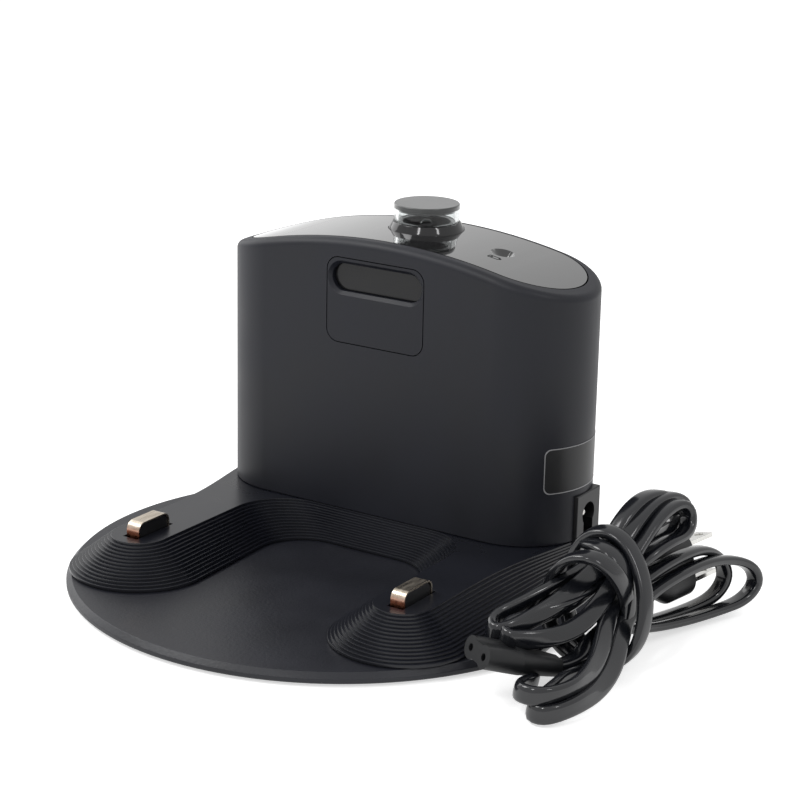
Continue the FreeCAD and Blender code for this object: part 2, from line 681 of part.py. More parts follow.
def ir_emitters():
    lamps = []
    for side in (-1, 1):
        x = side * EMITTER_SPACING / 2
        tip = PANEL_BACK + WINDOW_FLANGE_THICKNESS + SEAT_GAP + EMITTER_RADIUS
        body = along_y(x, EMITTER_Z, EMITTER_RADIUS, (tip, BOARD_FRONT))
        lamps.append(joined([body, Part.makeSphere(EMITTER_RADIUS, vec(x, tip, EMITTER_Z))]))
    return Part.makeCompound(lamps)


def figure_eight(radius, waist, x_range):
    """Figure-8 bar along X with its two lobes one above the other, centred on Y = Z = 0."""
    lobes = [along_x(0, side * PIN_SPACING / 2, radius, x_range) for side in (-1, 1)]
    bar = box(x_range, (-waist / 2, waist / 2), (-PIN_SPACING / 2, PIN_SPACING / 2))
    return joined(lobes + [bar])


def inlet_housing():
    back = INLET_FACE_X - INLET_DEPTH
    half = INLET_WIDTH / 2
    block = box((back, INLET_FACE_X), (INLET_Y - half, INLET_Y + half), (INLET_LOW, INLET_TOP))
    front = [edge for edge in block.Edges if edge.BoundBox.XMin > INLET_FACE_X - NEAR]
    block = block.makeFillet(INLET_EDGE, front)
    socket = figure_eight(SOCKET_RADIUS, SOCKET_WAIST, (INLET_FACE_X - SOCKET_DEPTH, INLET_FACE_X))
    cuts = [moved(socket, y=INLET_Y, z=SOCKET_Z)]
    for side in (-1, 1):
        z = SOCKET_Z + side * PIN_SPACING / 2
        cuts.append(along_x(INLET_Y, z, PIN_RADIUS + PIN_CLEARANCE, (back, INLET_FACE_X)))
    return block.cut(cuts)


def inlet_pins():
    back = INLET_FACE_X - INLET_DEPTH - PIN_TAIL
    tip = INLET_FACE_X - PIN_SINK
    pins = []
    for side in (-1, 1):
        pin = along_x(INLET_Y, SOCKET_Z + side * PIN_SPACING / 2, PIN_RADIUS, (back, tip))
        end = [edge for edge in pin.Edges if edge.BoundBox.XMin > tip - NEAR]
        pins.append(pin.makeFillet(PIN_RADIUS / 2, end))
    return Part.makeCompound(pins)


def contact_strip(x):
    """Metal strip bent over the carrier's tongue, with a leg down each end."""
    top = PLATEAU_TOP + CONTACT_HEIGHT
    foot = PLATEAU_TOP - STRIP_LEG
    outer = middle_box(x, CONTACT_Y, CONTACT_WIDTH, CONTACT_LENGTH, (foot, top))
    outer = outer.makeFillet(CONTACT_BEND, cross_edges(outer, top))
    inner_length = CONTACT_LENGTH - 2 * STRIP_THICKNESS
    inner = middle_box(x, CONTACT_Y, CONTACT_WIDTH, inner_length, (foot, top - STRIP_THICKNESS))
    inner = inner.makeFillet(CONTACT_BEND - STRIP_THICKNESS, cross_edges(inner, top - STRIP_THICKNESS))
    return outer.cut(inner)


def cross_edges(block, top):
    """Edges of a block at height top that run along X."""
    high = [edge for edge in block.Edges if edge.BoundBox.ZMin > top - NEAR]
    return [edge for edge in high if edge.BoundBox.XLength > edge.BoundBox.YLength]


def contact_carrier(x):
    length = CONTACT_LENGTH - 2 * STRIP_THICKNESS - 2 * END_CLEARANCE
    tongue = middle_box(x, CONTACT_Y, CONTACT_WIDTH - 2 * CARRIER_LIP, length, (CARRIER_FLOOR, TONGUE_TOP))
    tongue = tongue.makeFillet(CONTACT_BEND, cross_edges(tongue, TONGUE_TOP))
    body = middle_box(x, CONTACT_Y, CARRIER_WIDTH, length, (CARRIER_FLOOR, CARRIER_SHOULDER))
    pocket_radius = SPRING_RADIUS + SPRING_WIRE / 2 + SPRING_CLEARANCE
    pocket = upright(x, CONTACT_Y, pocket_radius, (CARRIER_FLOOR, POCKET_TOP))
    return joined([tongue, body]).cut(pocket)


def contact_spring(x):
    start = TERMINAL_TOP + END_CLEARANCE + SPRING_WIRE / 2
    height = POCKET_TOP - END_CLEARANCE - SPRING_WIRE / 2 - start
    helix = Part.makeHelix(height / SPRING_TURNS, height, SPRING_RADIUS)
    ring = Part.Wire(Part.makeCircle(SPRING_WIRE / 2, vec(SPRING_RADIUS, 0, 0), vec(0, 1, 0)))
    coil = Part.Wire(helix).makePipeShell([ring], True, True)
    return moved(coil, x, CONTACT_Y, start)


def terminal_plate(x):
    length = CONTACT_LENGTH - 2 * STRIP_THICKNESS
    heights = (PLATE_TOP, TERMINAL_TOP)
    plate = middle_box(x, CONTACT_Y, CARRIER_WIDTH, length, heights)
    tail_start = CONTACT_Y + length / 2
    half = TERMINAL_TAIL_WIDTH / 2
    tail = box((x - half, x + half), (tail_start, tail_start + TERMINAL_TAIL), heights)
    return joined([plate, tail])


def bent_tube(points, bend, radius):
    """Round tube along straight runs joined by tangent arcs of radius bend."""
    points = [vec(*point) for point in points]
    edges = []
    start = points[0]
    for before, corner, after in zip(points, points[1:], points[2:]):
        back = (before - corner).normalize()
        ahead = (after - corner).normalize()
        half = back.getAngle(ahead) / 2
        setback = bend / math.tan(half)
        towards = (back + ahead).normalize()
        centre = corner + towards * (bend / math.sin(half))
        turn_start = corner + back * setback
        turn_end = corner + ahead * setback
        edges.append(Part.makeLine(start, turn_start))
        edges.append(Part.Arc(turn_start, centre - towards * bend, turn_end).toShape())
        start = turn_end
    edges.append(Part.makeLine(start, points[-1]))
    ring = Part.Wire(Part.makeCircle(radius, points[0], points[1] - points[0]))
    return Part.Wire(edges).makePipeShell([ring], True, True)


def contact_lead(x):
    """Wire from a terminal plate's tail, back along the ramp and up behind the board."""
    z = TERMINAL_TOP + LEAD_RADIUS + END_CLEARANCE
    start = CONTACT_Y + CONTACT_LENGTH / 2 + SLIDE_CLEARANCE
    rise_y = BOARD_REAR + LEAD_RADIUS + END_CLEARANCE
    points = [(x, start, z), (x, rise_y, z), (x, rise_y, BOARD_LOW + LEAD_RISE)]
    return bent_tube(points, LEAD_BEND, LEAD_RADIUS)


def inlet_leads():
    """Wires from the inlet pins' tails to the back of the board."""
    tail = INLET_FACE_X - INLET_DEPTH - PIN_TAIL - END_CLEARANCE
    leads = []
    for side in (-1, 1):
        z = SOCKET_Z + side * PIN_SPACING / 2
        x = tail - LEAD_BEND * (2.5 - side)
        top = BOARD_LOW + LEAD_RISE
        near = BOARD_REAR + END_CLEARANCE
        points = [(tail, INLET_Y, z), (x, INLET_Y, z), (x, INLET_Y, top), (x, near, top)]
        leads.append(bent_tube(points, LEAD_BEND, LEAD_RADIUS))
    return Part.makeCompound(leads)


def main_board():
    board = box((-BOARD_WIDTH / 2, BOARD_WIDTH / 2), (BOARD_FRONT, BOARD_REAR), (BOARD_LOW, BOARD_HIGH))
    hole = SCREW_RADIUS + SCREW_HOLE_CLEARANCE
    return board.cut([along_y(x, z, hole, (BOARD_FRONT, BOARD_REAR)) for x, z in board_boss_places()])


def transformer():
    half = TRANSFORMER_WIDTH / 2
    low = BOARD_MIDDLE - TRANSFORMER_HEIGHT / 2
    high = BOARD_MIDDLE + TRANSFORMER_HEIGHT / 2
    rear = BOARD_REAR + TRANSFORMER_DEPTH
    winding = box((-half, half), (BOARD_REAR, rear), (low + TRANSFORMER_CORE, high - TRANSFORMER_CORE))
    inner = half - TRANSFORMER_CORE
    core = box((-inner, inner), (BOARD_REAR, rear - TRANSFORMER_CORE), (low, high))
    return joined([winding, core])


def capacitors():
    x = TRANSFORMER_WIDTH / 2 + 2 * CAPACITOR_RADIUS
    cans = []
    for side in (-1, 1):
        z = BOARD_MIDDLE + side * CAPACITOR_SPACING / 2
        can = along_y(x, z, CAPACITOR_RADIUS, (BOARD_REAR, BOARD_REAR + CAPACITOR_LENGTH))
        rim = [e for e in can.Edges if e.BoundBox.YMin > BOARD_REAR + CAPACITOR_LENGTH - NEAR]
        cans.append(can.makeFillet(CAPACITOR_RADIUS / 8, rim))
    return Part.makeCompound(cans)


def bridge_rectifier():
    x = -TRANSFORMER_WIDTH / 2 - RECTIFIER_WIDTH
    heights = (BOARD_MIDDLE - RECTIFIER_HEIGHT / 2, BOARD_MIDDLE + RECTIFIER_HEIGHT / 2)
    y = BOARD_REAR + RECTIFIER_DEPTH / 2
    return middle_box(x, y, RECTIFIER_WIDTH, RECTIFIER_DEPTH, heights)


def mains_fuse():
    x = -TRANSFORMER_WIDTH / 2 - RECTIFIER_WIDTH
    z = BOARD_MIDDLE - RECTIFIER_HEIGHT / 2 - 3 * FUSE_RADIUS
    y = BOARD_REAR + FUSE_RADIUS + FUSE_CLIP
    tube = Part.makeCylinder(FUSE_RADIUS, FUSE_LENGTH, vec(x - FUSE_LENGTH / 2, y, z), vec(1, 0, 0))
    clips = []
    for side in (-1, 1):
        place = x + side * (FUSE_LENGTH / 2 - FUSE_RADIUS)
        heights = (z - FUSE_RADIUS, z + FUSE_RADIUS)
        clips.append(middle_box(place, (BOARD_REAR + y) / 2, FUSE_RADIUS, y - BOARD_REAR, heights))
    return joined([tube] + clips)


def screw(length):
    """Pan-head screw pointing up +Z, with the underside of its head at the origin."""
    head = Part.makeCylinder(SCREW_HEAD_RADIUS, SCREW_HEAD_HEIGHT, vec(0, 0, -SCREW_HEAD_HEIGHT))
    shank = Part.makeCylinder(SCREW_RADIUS, length)
    slot_length = 1.2 * SCREW_HEAD_RADIUS
    slot_width = SCREW_RADIUS / 2
    depth = (-SCREW_HEAD_HEIGHT, -SCREW_HEAD_HEIGHT / 2)
    slots = [middle_box(0, 0, slot_length, slot_width, depth)]
    slots.append(middle_box(0, 0, slot_width, slot_length, depth))
    return joined([head, shank]).cut(slots)


def base_screws():
    seat = FOOT_HEIGHT + SCREW_HEAD_HEIGHT
    long_screw = screw(PLATEAU_TOP - seat + SCREW_BITE)
    short_screw = screw(PLATE_TOP - seat + SCREW_BITE)
    screws = [moved(long_screw, x, y, seat) for x, y in post_places()]
    screws += [moved(short_screw, x, y, seat) for x, y in ramp_screw_places()]
    return Part.makeCompound(screws)


def board_screws():
    model = screw(BOARD_THICKNESS + SCREW_BITE)
    model.rotate(vec(0, 0), vec(1, 0), 90)
    return Part.makeCompound([moved(model, x, BOARD_REAR, z) for x, z in board_boss_places()])


def laid(shape, rear, front, roll):
    """Places a shape drawn along +X from the origin so that it points from rear to front."""
    axis = vec(*front) - vec(*rear)
    turn = FreeCAD.Rotation(vec(1, 0, 0), roll)
    level = FreeCAD.Rotation(vec(0, 0, 1), math.degrees(math.atan2(axis.y, axis.x)))
    pitch = FreeCAD.Rotation(vec(0, 1, 0), -math.degrees(math.asin(axis.z / axis.Length)))
    copy = shape.copy()
    copy.Placement = FreeCAD.Placement(vec(*rear), level.multiply(pitch).multiply(turn))
    return copy


def span(rear, front):
    return (vec(*front) - vec(*rear)).Length


def oval(long, short, x):
    """Rounded rectangle in the plane X = x, its long side upright."""
    radius = short / 2
    reach = long / 2 - radius
    top = [vec(x, radius, reach), vec(x, 0, reach + radius), vec(x, -radius, reach)]
    low = [vec(x, -radius, -reach), vec(x, 0, -reach - radius), vec(x, radius, -reach)]
    edges = [
        Part.Arc(*top).toShape(),
        Part.makeLine(top[2], low[0]),
        Part.Arc(*low).toShape(),
        Part.makeLine(low[2], top[0]),
    ]
    return Part.Wire(edges)


def connector_body(spread):
    """Connector without its holes, grown sideways by spread, drawn along +X."""
    length = span(CONNECTOR_REAR, CONNECTOR_FACE)
    shoulder = length - CONNECTOR_NOSE
    grow = 2 * spread
    neck = oval(CONNECTOR_NECK_LONG + grow, CONNECTOR_NECK_SHORT + grow, 0)
    wide = oval(CONNECTOR_LONG + grow, CONNECTOR_SHORT + grow, shoulder)
    body = Part.makeLoft([neck, wide], True, True)
    nose = figure_eight(CONNECTOR_SHORT / 2 + spread, CONNECTOR_WAIST + grow, (shoulder, length))
    return joined([body, nose])


def cord_connector():
    length = span(CONNECTOR_REAR, CONNECTOR_FACE)
    reach = (length - CONNECTOR_HOLE_DEPTH, length)
    radius = PIN_RADIUS + PIN_CLEARANCE
    holes = [along_x(0, side * PIN_SPACING / 2, radius, reach) for side in (-1, 1)]
    return laid(connector_body(0).cut(holes), CONNECTOR_REAR, CONNECTOR_FACE, 90)


def plug_body(spread, front):
    """Plug grown sideways by spread, drawn along +X as far as front."""
    length = span(PLUG_REAR, PLUG_FRONT)
    grow = 2 * spread
    neck = oval(PLUG_NECK_LONG + grow, PLUG_NECK_SHORT + grow, 0)
    shoulder = oval(PLUG_LONG + grow, PLUG_SHORT + grow, length - PLUG_HEAD)
    face = oval(PLUG_LONG + grow, PLUG_SHORT + grow, front)
    return joined([Part.makeLoft([neck, shoulder], True, True), Part.makeLoft([shoulder, face], True, True)])


def cord_plug():
    return laid(plug_body(0, span(PLUG_REAR, PLUG_FRONT)), PLUG_REAR, PLUG_FRONT, PLUG_ROLL)


def plug_blades():
    start = span(PLUG_REAR, PLUG_FRONT)
    blades = []
    for side in (-1, 1):
        z = side * BLADE_SPACING / 2
        half = BLADE_WIDTH / 2
        thin = BLADE_THICKNESS / 2
        blade = box((start, start + BLADE_LENGTH), (-half, half), (z - thin, z + thin))
        place = start + BLADE_LENGTH - BLADE_HOLE_SETBACK
        blades.append(blade.cut(upright(place, 0, BLADE_HOLE_RADIUS, (z - thin, z + thin))))
    return laid(Part.makeCompound(blades), PLUG_REAR, PLUG_FRONT, PLUG_ROLL)


def power_cord():
    """Outer shape of the tied hank, hollowed where the connector and the plug lie in it."""
    wires = []
    circle = Part.Wire(Part.makeCircle(1, vec(0, 0), vec(0, 1)))
    for y, x, z, half_width, half_height in HANK_SECTIONS:
        stretch = FreeCAD.Matrix()
        stretch.scale(half_width, 1, half_height)
        wires.append(moved(circle.transformGeometry(stretch), x, y, z))
    hank = Part.makeLoft(wires, True, False)
    reach = span(PLUG_REAR, PLUG_FRONT) + 2 * BLADE_LENGTH
    plug_room = laid(plug_body(CORD_CLEARANCE, reach), PLUG_REAR, PLUG_FRONT, PLUG_ROLL)
    connector_room = laid(connector_body(CORD_CLEARANCE), CONNECTOR_REAR, CONNECTOR_FACE, 90)
    return hank.cut([plug_room, connector_room])


def save(name, shape):
    for solid in shape.Solids:
        if not solid.isValid() or solid.Volume <= 0:
            raise ValueError("bad solid in " + name)
    if len(shape.Solids) == 1:
        shape = shape.Solids[0]
    shape.exportStep("parts/" + name + ".step")


def main():
    os.makedirs("parts", exist_ok=True)
    single = (
        base_plate,
        rubber_feet,
        ramp_cover,
        tower_shell,
        top_cover,
        window_bezel,
        ir_window,
        ir_emitters,
        beacon_collar,
        beacon_lens,
        beacon_cap,
        beacon_reflector,
        beacon_emitter,
        beacon_board,
        indicator_led,
        inlet_housing,
        inlet_pins,
        inlet_leads,
        main_board,
        transformer,
        capacitors,
        bridge_rectifier,
        mains_fuse,
        base_screws,
        board_screws,
        power_cord,
        cord_connector,
        cord_plug,
        plug_blades,
    )
    for build in single:
        save(build.__name__, build())
    for build in (contact_strip, contact_carrier, contact_spring, terminal_plate, contact_lead):
        for side, word in ((-1, "left_"), (1, "right_")):
            save(word + build.__name__, build(side * CONTACT_X))


main()
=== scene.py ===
import json
import math

import bmesh
import bpy
import numpy as np
from mathutils import Matrix, Vector

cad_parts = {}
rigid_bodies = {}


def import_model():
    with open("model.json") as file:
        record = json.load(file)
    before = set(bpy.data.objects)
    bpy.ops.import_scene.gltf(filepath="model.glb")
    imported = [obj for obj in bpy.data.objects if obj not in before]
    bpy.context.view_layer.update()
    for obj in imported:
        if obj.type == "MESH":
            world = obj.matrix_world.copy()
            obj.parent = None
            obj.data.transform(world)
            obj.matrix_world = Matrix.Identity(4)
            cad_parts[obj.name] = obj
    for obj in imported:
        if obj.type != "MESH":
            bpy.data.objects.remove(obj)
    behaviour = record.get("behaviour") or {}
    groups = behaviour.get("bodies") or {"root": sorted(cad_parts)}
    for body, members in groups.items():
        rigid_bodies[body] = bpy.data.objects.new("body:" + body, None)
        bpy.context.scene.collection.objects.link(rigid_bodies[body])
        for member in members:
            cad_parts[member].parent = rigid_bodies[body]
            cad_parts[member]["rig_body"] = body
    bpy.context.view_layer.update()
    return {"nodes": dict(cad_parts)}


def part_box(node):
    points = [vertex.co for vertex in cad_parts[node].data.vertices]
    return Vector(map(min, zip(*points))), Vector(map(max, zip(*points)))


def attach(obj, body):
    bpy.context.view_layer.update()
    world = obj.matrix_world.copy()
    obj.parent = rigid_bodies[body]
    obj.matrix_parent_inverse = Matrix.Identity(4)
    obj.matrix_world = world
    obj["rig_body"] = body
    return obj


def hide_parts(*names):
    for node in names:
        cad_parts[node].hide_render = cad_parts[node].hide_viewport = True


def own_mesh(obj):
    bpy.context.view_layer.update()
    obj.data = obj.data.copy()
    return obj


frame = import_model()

# Robot vacuum charging dock with its loose mains lead.
# Everything is in metres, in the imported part's own frame: +X right, +Y back, +Z up.
MM = 0.001

# Camera, from the photograph's vanishing lines
CAMERA_PLACE = Vector((0.42927, -0.61645, 0.29762))
CAMERA_TURN = math.radians(32.77)
CAMERA_PITCH = math.radians(16.92)
CAMERA_ROLL = math.radians(1.18)
FOCAL_LENGTH = 103.5
SENSOR_WIDTH = 36.0

# Flat mains lead
CORD_WIDTH = 6.2 * MM
CORD_THICKNESS = 3.3 * MM
CORD_STEP = 1.6 * MM
CORD_CORNERS = 16
CORD_SMOOTH_ANGLE = math.radians(60)
TWIST_REACH = 5 * MM
LINE_RESOLUTION = 24
SEARCH_STEPS = 40

# Powers that make the lead's section squarer than an ellipse, across and through
CORD_SQUARENESS = (0.7, 0.55)

# Label place on the tower's right end
LABEL_LOW = 36.4 * MM
LABEL_HIGH = 52.8 * MM
LABEL_HALF_TURN = math.radians(43)
LABEL_CORNER = 2.4 * MM
LABEL_LINE = 0.32 * MM
LABEL_FILM = 0.06 * MM
LABEL_COLUMNS = 40
LABEL_STEP = 0.8 * MM

# Printed symbol beside the indicator lamp
SYMBOL_PLACE = (36.6 * MM, 51.6 * MM)
SYMBOL_LENGTH = 4.4 * MM
SYMBOL_WIDTH = 2.4 * MM
SYMBOL_LINE = 0.4 * MM
SYMBOL_CORNERS = (0.5 * MM, 0.2 * MM)
SYMBOL_BAR_CORNER = 0.15 * MM
PRINT_THICKNESS = 0.04 * MM

# Bars of the symbol: place along it, width, height
SYMBOL_BARS = (
    (SYMBOL_LENGTH / 2 + 0.35 * MM, 0.5 * MM, 1.1 * MM),
    (-0.9 * MM, 0.8 * MM, 0.9 * MM),
)

# Tower top, as in the part
CREST_HEIGHT = 117.3 * MM
ARCH_RADIUS = 226 * MM
TOWER_END_X = 47.25 * MM
TOWER_Y = 57.9 * MM
TOWER_END_RADIUS = 25.25 * MM

# Edges of the dressed pieces
EASED_ANGLE = math.radians(35)
EASE_SEGMENTS = 2
SMOOTH_ANGLE = math.radians(32)
FLAT_ANGLE = math.radians(0.2)
MERGE_DISTANCE = 0.0005 * MM

# Ridges: share of the full rounding that other edges get, and the rise of a face's normal
# below which the face is upright and above which it is level
SLIGHT_EASE = 0.05
UPRIGHT_BELOW = 0.05
LEVEL_ABOVE = 0.95

# Detail of the finishes: patches to a metre, strength of a faint relief, roughness of the coats
TONE_PATCHES = 38.0
SMEAR_PATCHES = 60.0
WAVE_PATCHES = 25.0
FLOW_PATCHES = 90.0
WEAVE_PATCHES = 1300.0
SCRATCH_PATCHES = 700.0
FAINT_RELIEF = 0.3
SOFT_COAT = 0.25
HARD_COAT = 0.03

# Wear of the contacts' plating, from the front end and from the top
WORN_FROM_FRONT = (0.8 * MM, 3.2 * MM)
WORN_FROM_TOP = (3.6 * MM, 1.0 * MM)
PLATING_PLAIN = (0.8, 0.68, 0.54)
PLATING_DARK = (0.5, 0.43, 0.34)
PLATING_PALE = (0.7, 0.63, 0.53)
WORN_COPPER = (0.36, 0.13, 0.075)

# White room and floor: level as light, as seen by the camera, and as mirrored in gloss
ROOM_LEVELS = (0.5, 1.0, 0.78)
FLOOR_GLOW_LEVELS = (0.0, 0.6, 0.36)
FLOOR_COLOUR = (0.86, 0.86, 0.86)
FLOOR_REACH = 4.0

# Soft lamps: name, place, target, width, height, power, and whether gloss mirrors their shape
LAMPS = (
    ("front_box", (-0.65, -0.4, 1.0), (0, 0, 0.05), 0.5, 0.5, 5.0, True),
    ("left_box", (-0.9, 0.2, 0.5), (0, 0, 0.05), 0.7, 0.7, 2.5, True),
    ("back_box", (0.2, 1.1, 0.9), (0, 0.05, 0.1), 1.6, 0.8, 4.0, False),
    ("left_strip", (0.055, -0.675, 0.767), (0, 0.03, 0.06), 0.09, 0.3, 1.0, True),
    ("right_strip", (0.687, -0.135, 0.767), (0, 0.03, 0.06), 0.09, 0.3, 0.8, True),
)

# Route of the lead in millimetres, from the connector to the plug. Each run gives the
# direction of the flat lead's wide side and then its points.
ON_BACK_LOOP = (0.94, -0.3, 0.15)
ON_FRONT_LOBE = (0.15, 0.1, 1.0)
ON_STANDING_LOOP = (1.0, -0.1, 0.1)
ROUND_THE_WAIST = (0.1, 1.0, 0.15)
ON_THE_RISE = (0.78, 0.3, -0.55)
HALF_TURNED = (0.45, 0.2, -0.87)
TURNING_UP = (0.5, -0.1, 0.86)
LEAD_ROUTE = (
    # From the connector to the waist
    ((0.85, -0.53, 0.1), ((108.8, -24.6, 6.8), (112.3, -19.3, 6.6))),
    (ON_THE_RISE, ((114.3, -10.0, 12.0), (113.6, 2.0, 12.4))),
    ((0.9, -0.2, 0.3), ((116.0, 22.0, 5.2),)),
    # Outer loop on the floor at the back
    (ON_BACK_LOOP, (
        (121.0, 40.0, 3.3), (126.5, 56.0, 3.3), (131.0, 66.5, 4.5), (133.5, 72.0, 10.0),
        (132.0, 70.0, 16.3), (128.5, 62.0, 20.5), (125.3, 48.0, 23.3), (123.0, 33.0, 23.3),
        (119.5, 18.0, 20.5),
    )),
    (ON_THE_RISE, ((118.0, 5.0, 17.0), (121.4, -5.0, 13.6), (125.7, -17.0, 8.4))),
    (HALF_TURNED, ((127.8, -30.5, 5.6),)),
    # Outer lobe on the floor at the front
    (ON_FRONT_LOBE, (
        (127.2, -44.0, 5.0), (122.3, -54.3, 3.9), (115.3, -53.2, 3.6), (115.0, -45.0, 4.4),
        (115.4, -37.0, 5.5), (114.8, -29.0, 5.6), (116.6, -20.0, 4.5), (114.5, -10.0, 5.5),
    )),
    (TURNING_UP, ((110.8, 0.0, 8.0), (109.5, 10.0, 8.0))),
    # Inner loop at the back
    (ON_BACK_LOOP, (
        (111.5, 21.0, 5.6), (114.5, 36.0, 3.8), (118.5, 52.0, 3.4), (122.5, 62.0, 5.5),
        (124.5, 66.5, 12.0), (123.5, 62.5, 19.5), (122.0, 53.0, 25.5), (120.7, 40.0, 27.5),
        (118.5, 26.0, 26.5),
    )),
    (ON_THE_RISE, ((114.8, 12.0, 23.0), (114.3, 2.0, 21.0), (116.8, -6.5, 17.6), (120.8, -17.0, 13.0))),
    (HALF_TURNED, ((124.4, -30.0, 10.5),)),
    # Inner lobe at the front, on the outer one
    (ON_FRONT_LOBE, (
        (125.0, -43.5, 9.4), (119.8, -53.8, 9.2), (111.5, -54.0, 9.3), (108.6, -45.5, 7.6),
        (108.2, -36.5, 5.2), (102.5, -27.5, 3.5), (96.0, -18.0, 4.2),
    )),
    (TURNING_UP, ((97.5, -8.0, 7.5), (102.0, 4.0, 11.5))),
    # Standing loop at the back, nearest
    (ON_STANDING_LOOP, (
        (109.0, 13.0, 22.0), (115.5, 18.5, 30.5), (119.3, 28.0, 34.5), (120.5, 37.5, 34.3),
        (120.4, 42.5, 36.5), (119.4, 43.8, 41.5), (117.5, 40.0, 45.3), (115.5, 29.0, 43.0),
        (114.2, 17.0, 34.5),
    )),
    (ON_THE_RISE, ((113.3, 4.0, 27.0), (113.5, -8.0, 21.5), (112.0, -18.0, 17.8))),
    (HALF_TURNED, ((108.0, -27.0, 16.8),)),
    # Fold in the middle at the front
    (ON_FRONT_LOBE, (
        (102.0, -34.0, 17.0), (97.0, -37.5, 17.4), (93.0, -31.0, 18.6), (100.0, -22.5, 20.5),
    )),
    (TURNING_UP, ((106.5, -12.0, 22.5), (108.5, 2.0, 25.0))),
    # Standing loop at the back, middle
    (ON_STANDING_LOOP, (
        (109.5, 16.0, 29.0), (112.0, 30.0, 33.0), (114.3, 41.0, 33.3), (115.5, 48.5, 35.5),
        (115.0, 50.0, 41.5), (113.0, 43.0, 46.0), (111.8, 32.0, 46.0), (111.0, 22.0, 42.0),
    )),
    (ON_THE_RISE, ((109.8, 12.0, 35.5), (108.0, 2.0, 31.0), (106.0, -8.0, 27.0), (103.5, -17.0, 23.5))),
    (HALF_TURNED, ((99.5, -25.5, 20.5),)),
    # Highest fold at the front
    (ON_FRONT_LOBE, (
        (96.5, -33.0, 18.8), (92.0, -37.0, 17.8), (88.0, -30.5, 19.4), (93.5, -21.5, 22.5),
    )),
    (TURNING_UP, ((98.0, -12.0, 26.0), (103.0, 1.0, 30.0))),
    # Standing loop at the back, farthest
    (ON_STANDING_LOOP, (
        (106.0, 13.0, 36.0), (107.4, 21.0, 43.5), (108.8, 30.0, 47.5), (110.4, 39.0, 47.0),
        (112.0, 46.5, 43.0), (112.0, 50.0, 36.0), (108.0, 44.0, 31.0), (103.0, 34.0, 30.5),
        (99.5, 22.0, 33.0),
    )),
    # Wraps round the waist
    ((0.6, 0.6, 0.2), ((99.0, 9.0, 36.5),)),
    (ROUND_THE_WAIST, (
        (107.0, 3.5, 38.5), (115.0, 3.0, 36.0), (119.3, 3.5, 26.0), (119.5, 3.0, 14.0),
        (116.5, 2.5, 4.0), (109.0, 3.0, 1.8), (100.5, 4.0, 3.5), (95.5, 5.5, 13.0),
        (94.5, 7.5, 25.0), (97.5, 9.0, 36.5), (104.5, 9.5, 42.0), (113.0, 10.0, 40.5),
        (120.5, 8.0, 32.5), (126.0, 3.5, 21.5), (126.3, -2.5, 9.0), (119.0, -5.5, 1.9),
        (109.0, -5.5, 1.8), (99.5, -6.0, 5.0), (94.5, -6.5, 15.0), (95.5, -7.5, 27.0),
        (102.0, -9.0, 36.5), (111.0, -9.5, 40.0), (117.5, -6.5, 36.3), (119.8, -0.5, 27.5),
        (118.3, 5.0, 18.0),
    )),
    # Tail to the plug
    ((0.5, 0.3, 0.8), ((115.5, 10.0, 14.5), (112.3, 15.5, 16.0))),
    ((-0.21, 0.0, 0.98), ((110.6, 21.5, 19.0), (111.2, 29.7, 19.2))),
)


# Finishes

def new_finish(name, colour, roughness, metallic=0.0, shine=0.5):
    """Material with plain values on its shader, to which a finish adds its own detail."""
    material = bpy.data.materials.new(name)
    material.use_nodes = True
    shader = material.node_tree.nodes["Principled BSDF"]
    shader.inputs["Base Color"].default_value = (*colour, 1)
    shader.inputs["Roughness"].default_value = roughness
    shader.inputs["Metallic"].default_value = metallic
    shader.inputs["Specular IOR Level"].default_value = shine
    return material, material.node_tree, shader


def object_noise(tree, scale, detail=2.0, stretch=(1, 1, 1)):
    """Noise on the piece's own coordinates, in patches of about 1 / scale metres."""
    place = tree.nodes.new("ShaderNodeTexCoord")
    mapping = tree.nodes.new("ShaderNodeMapping")
    mapping.inputs["Scale"].default_value = stretch
    texture = tree.nodes.new("ShaderNodeTexNoise")
    texture.inputs["Scale"].default_value = scale
    texture.inputs["Detail"].default_value = detail
    tree.links.new(place.outputs["Object"], mapping.inputs["Vector"])
    tree.links.new(mapping.outputs["Vector"], texture.inputs["Vector"])
    return texture.outputs["Fac"]


def spread(tree, value, low, high, start=0.3, end=0.7):
    """Maps a value between start and end to the range from low to high."""
    node = tree.nodes.new("ShaderNodeMapRange")
    node.inputs["From Min"].default_value = start
    node.inputs["From Max"].default_value = end
    node.inputs["To Min"].default_value = low
    node.inputs["To Max"].default_value = high
    tree.links.new(value, node.inputs["Value"])
    return node.outputs["Result"]


def mix_colours(tree, share, first, second):
    """Mix of two colours, each a plain colour or another node's output."""
    node = tree.nodes.new("ShaderNodeMix")
    node.data_type = "RGBA"
    tree.links.new(share, node.inputs["Factor"])
    for socket, colour in ((node.inputs["A"], first), (node.inputs["B"], second)):
        if hasattr(colour, "is_output"):
            tree.links.new(colour, socket)
        else:
            socket.default_value = (*colour, 1)
    return node.outputs["Result"]


def add_bump(tree, shader, height, depth, strength):
    """Fine relief of the given depth on a shader."""
    bump = tree.nodes.new("ShaderNodeBump")
    bump.inputs["Distance"].default_value = depth
    bump.inputs["Strength"].default_value = strength
    tree.links.new(height, bump.inputs["Height"])
    tree.links.new(bump.outputs["Normal"], shader.inputs["Normal"])


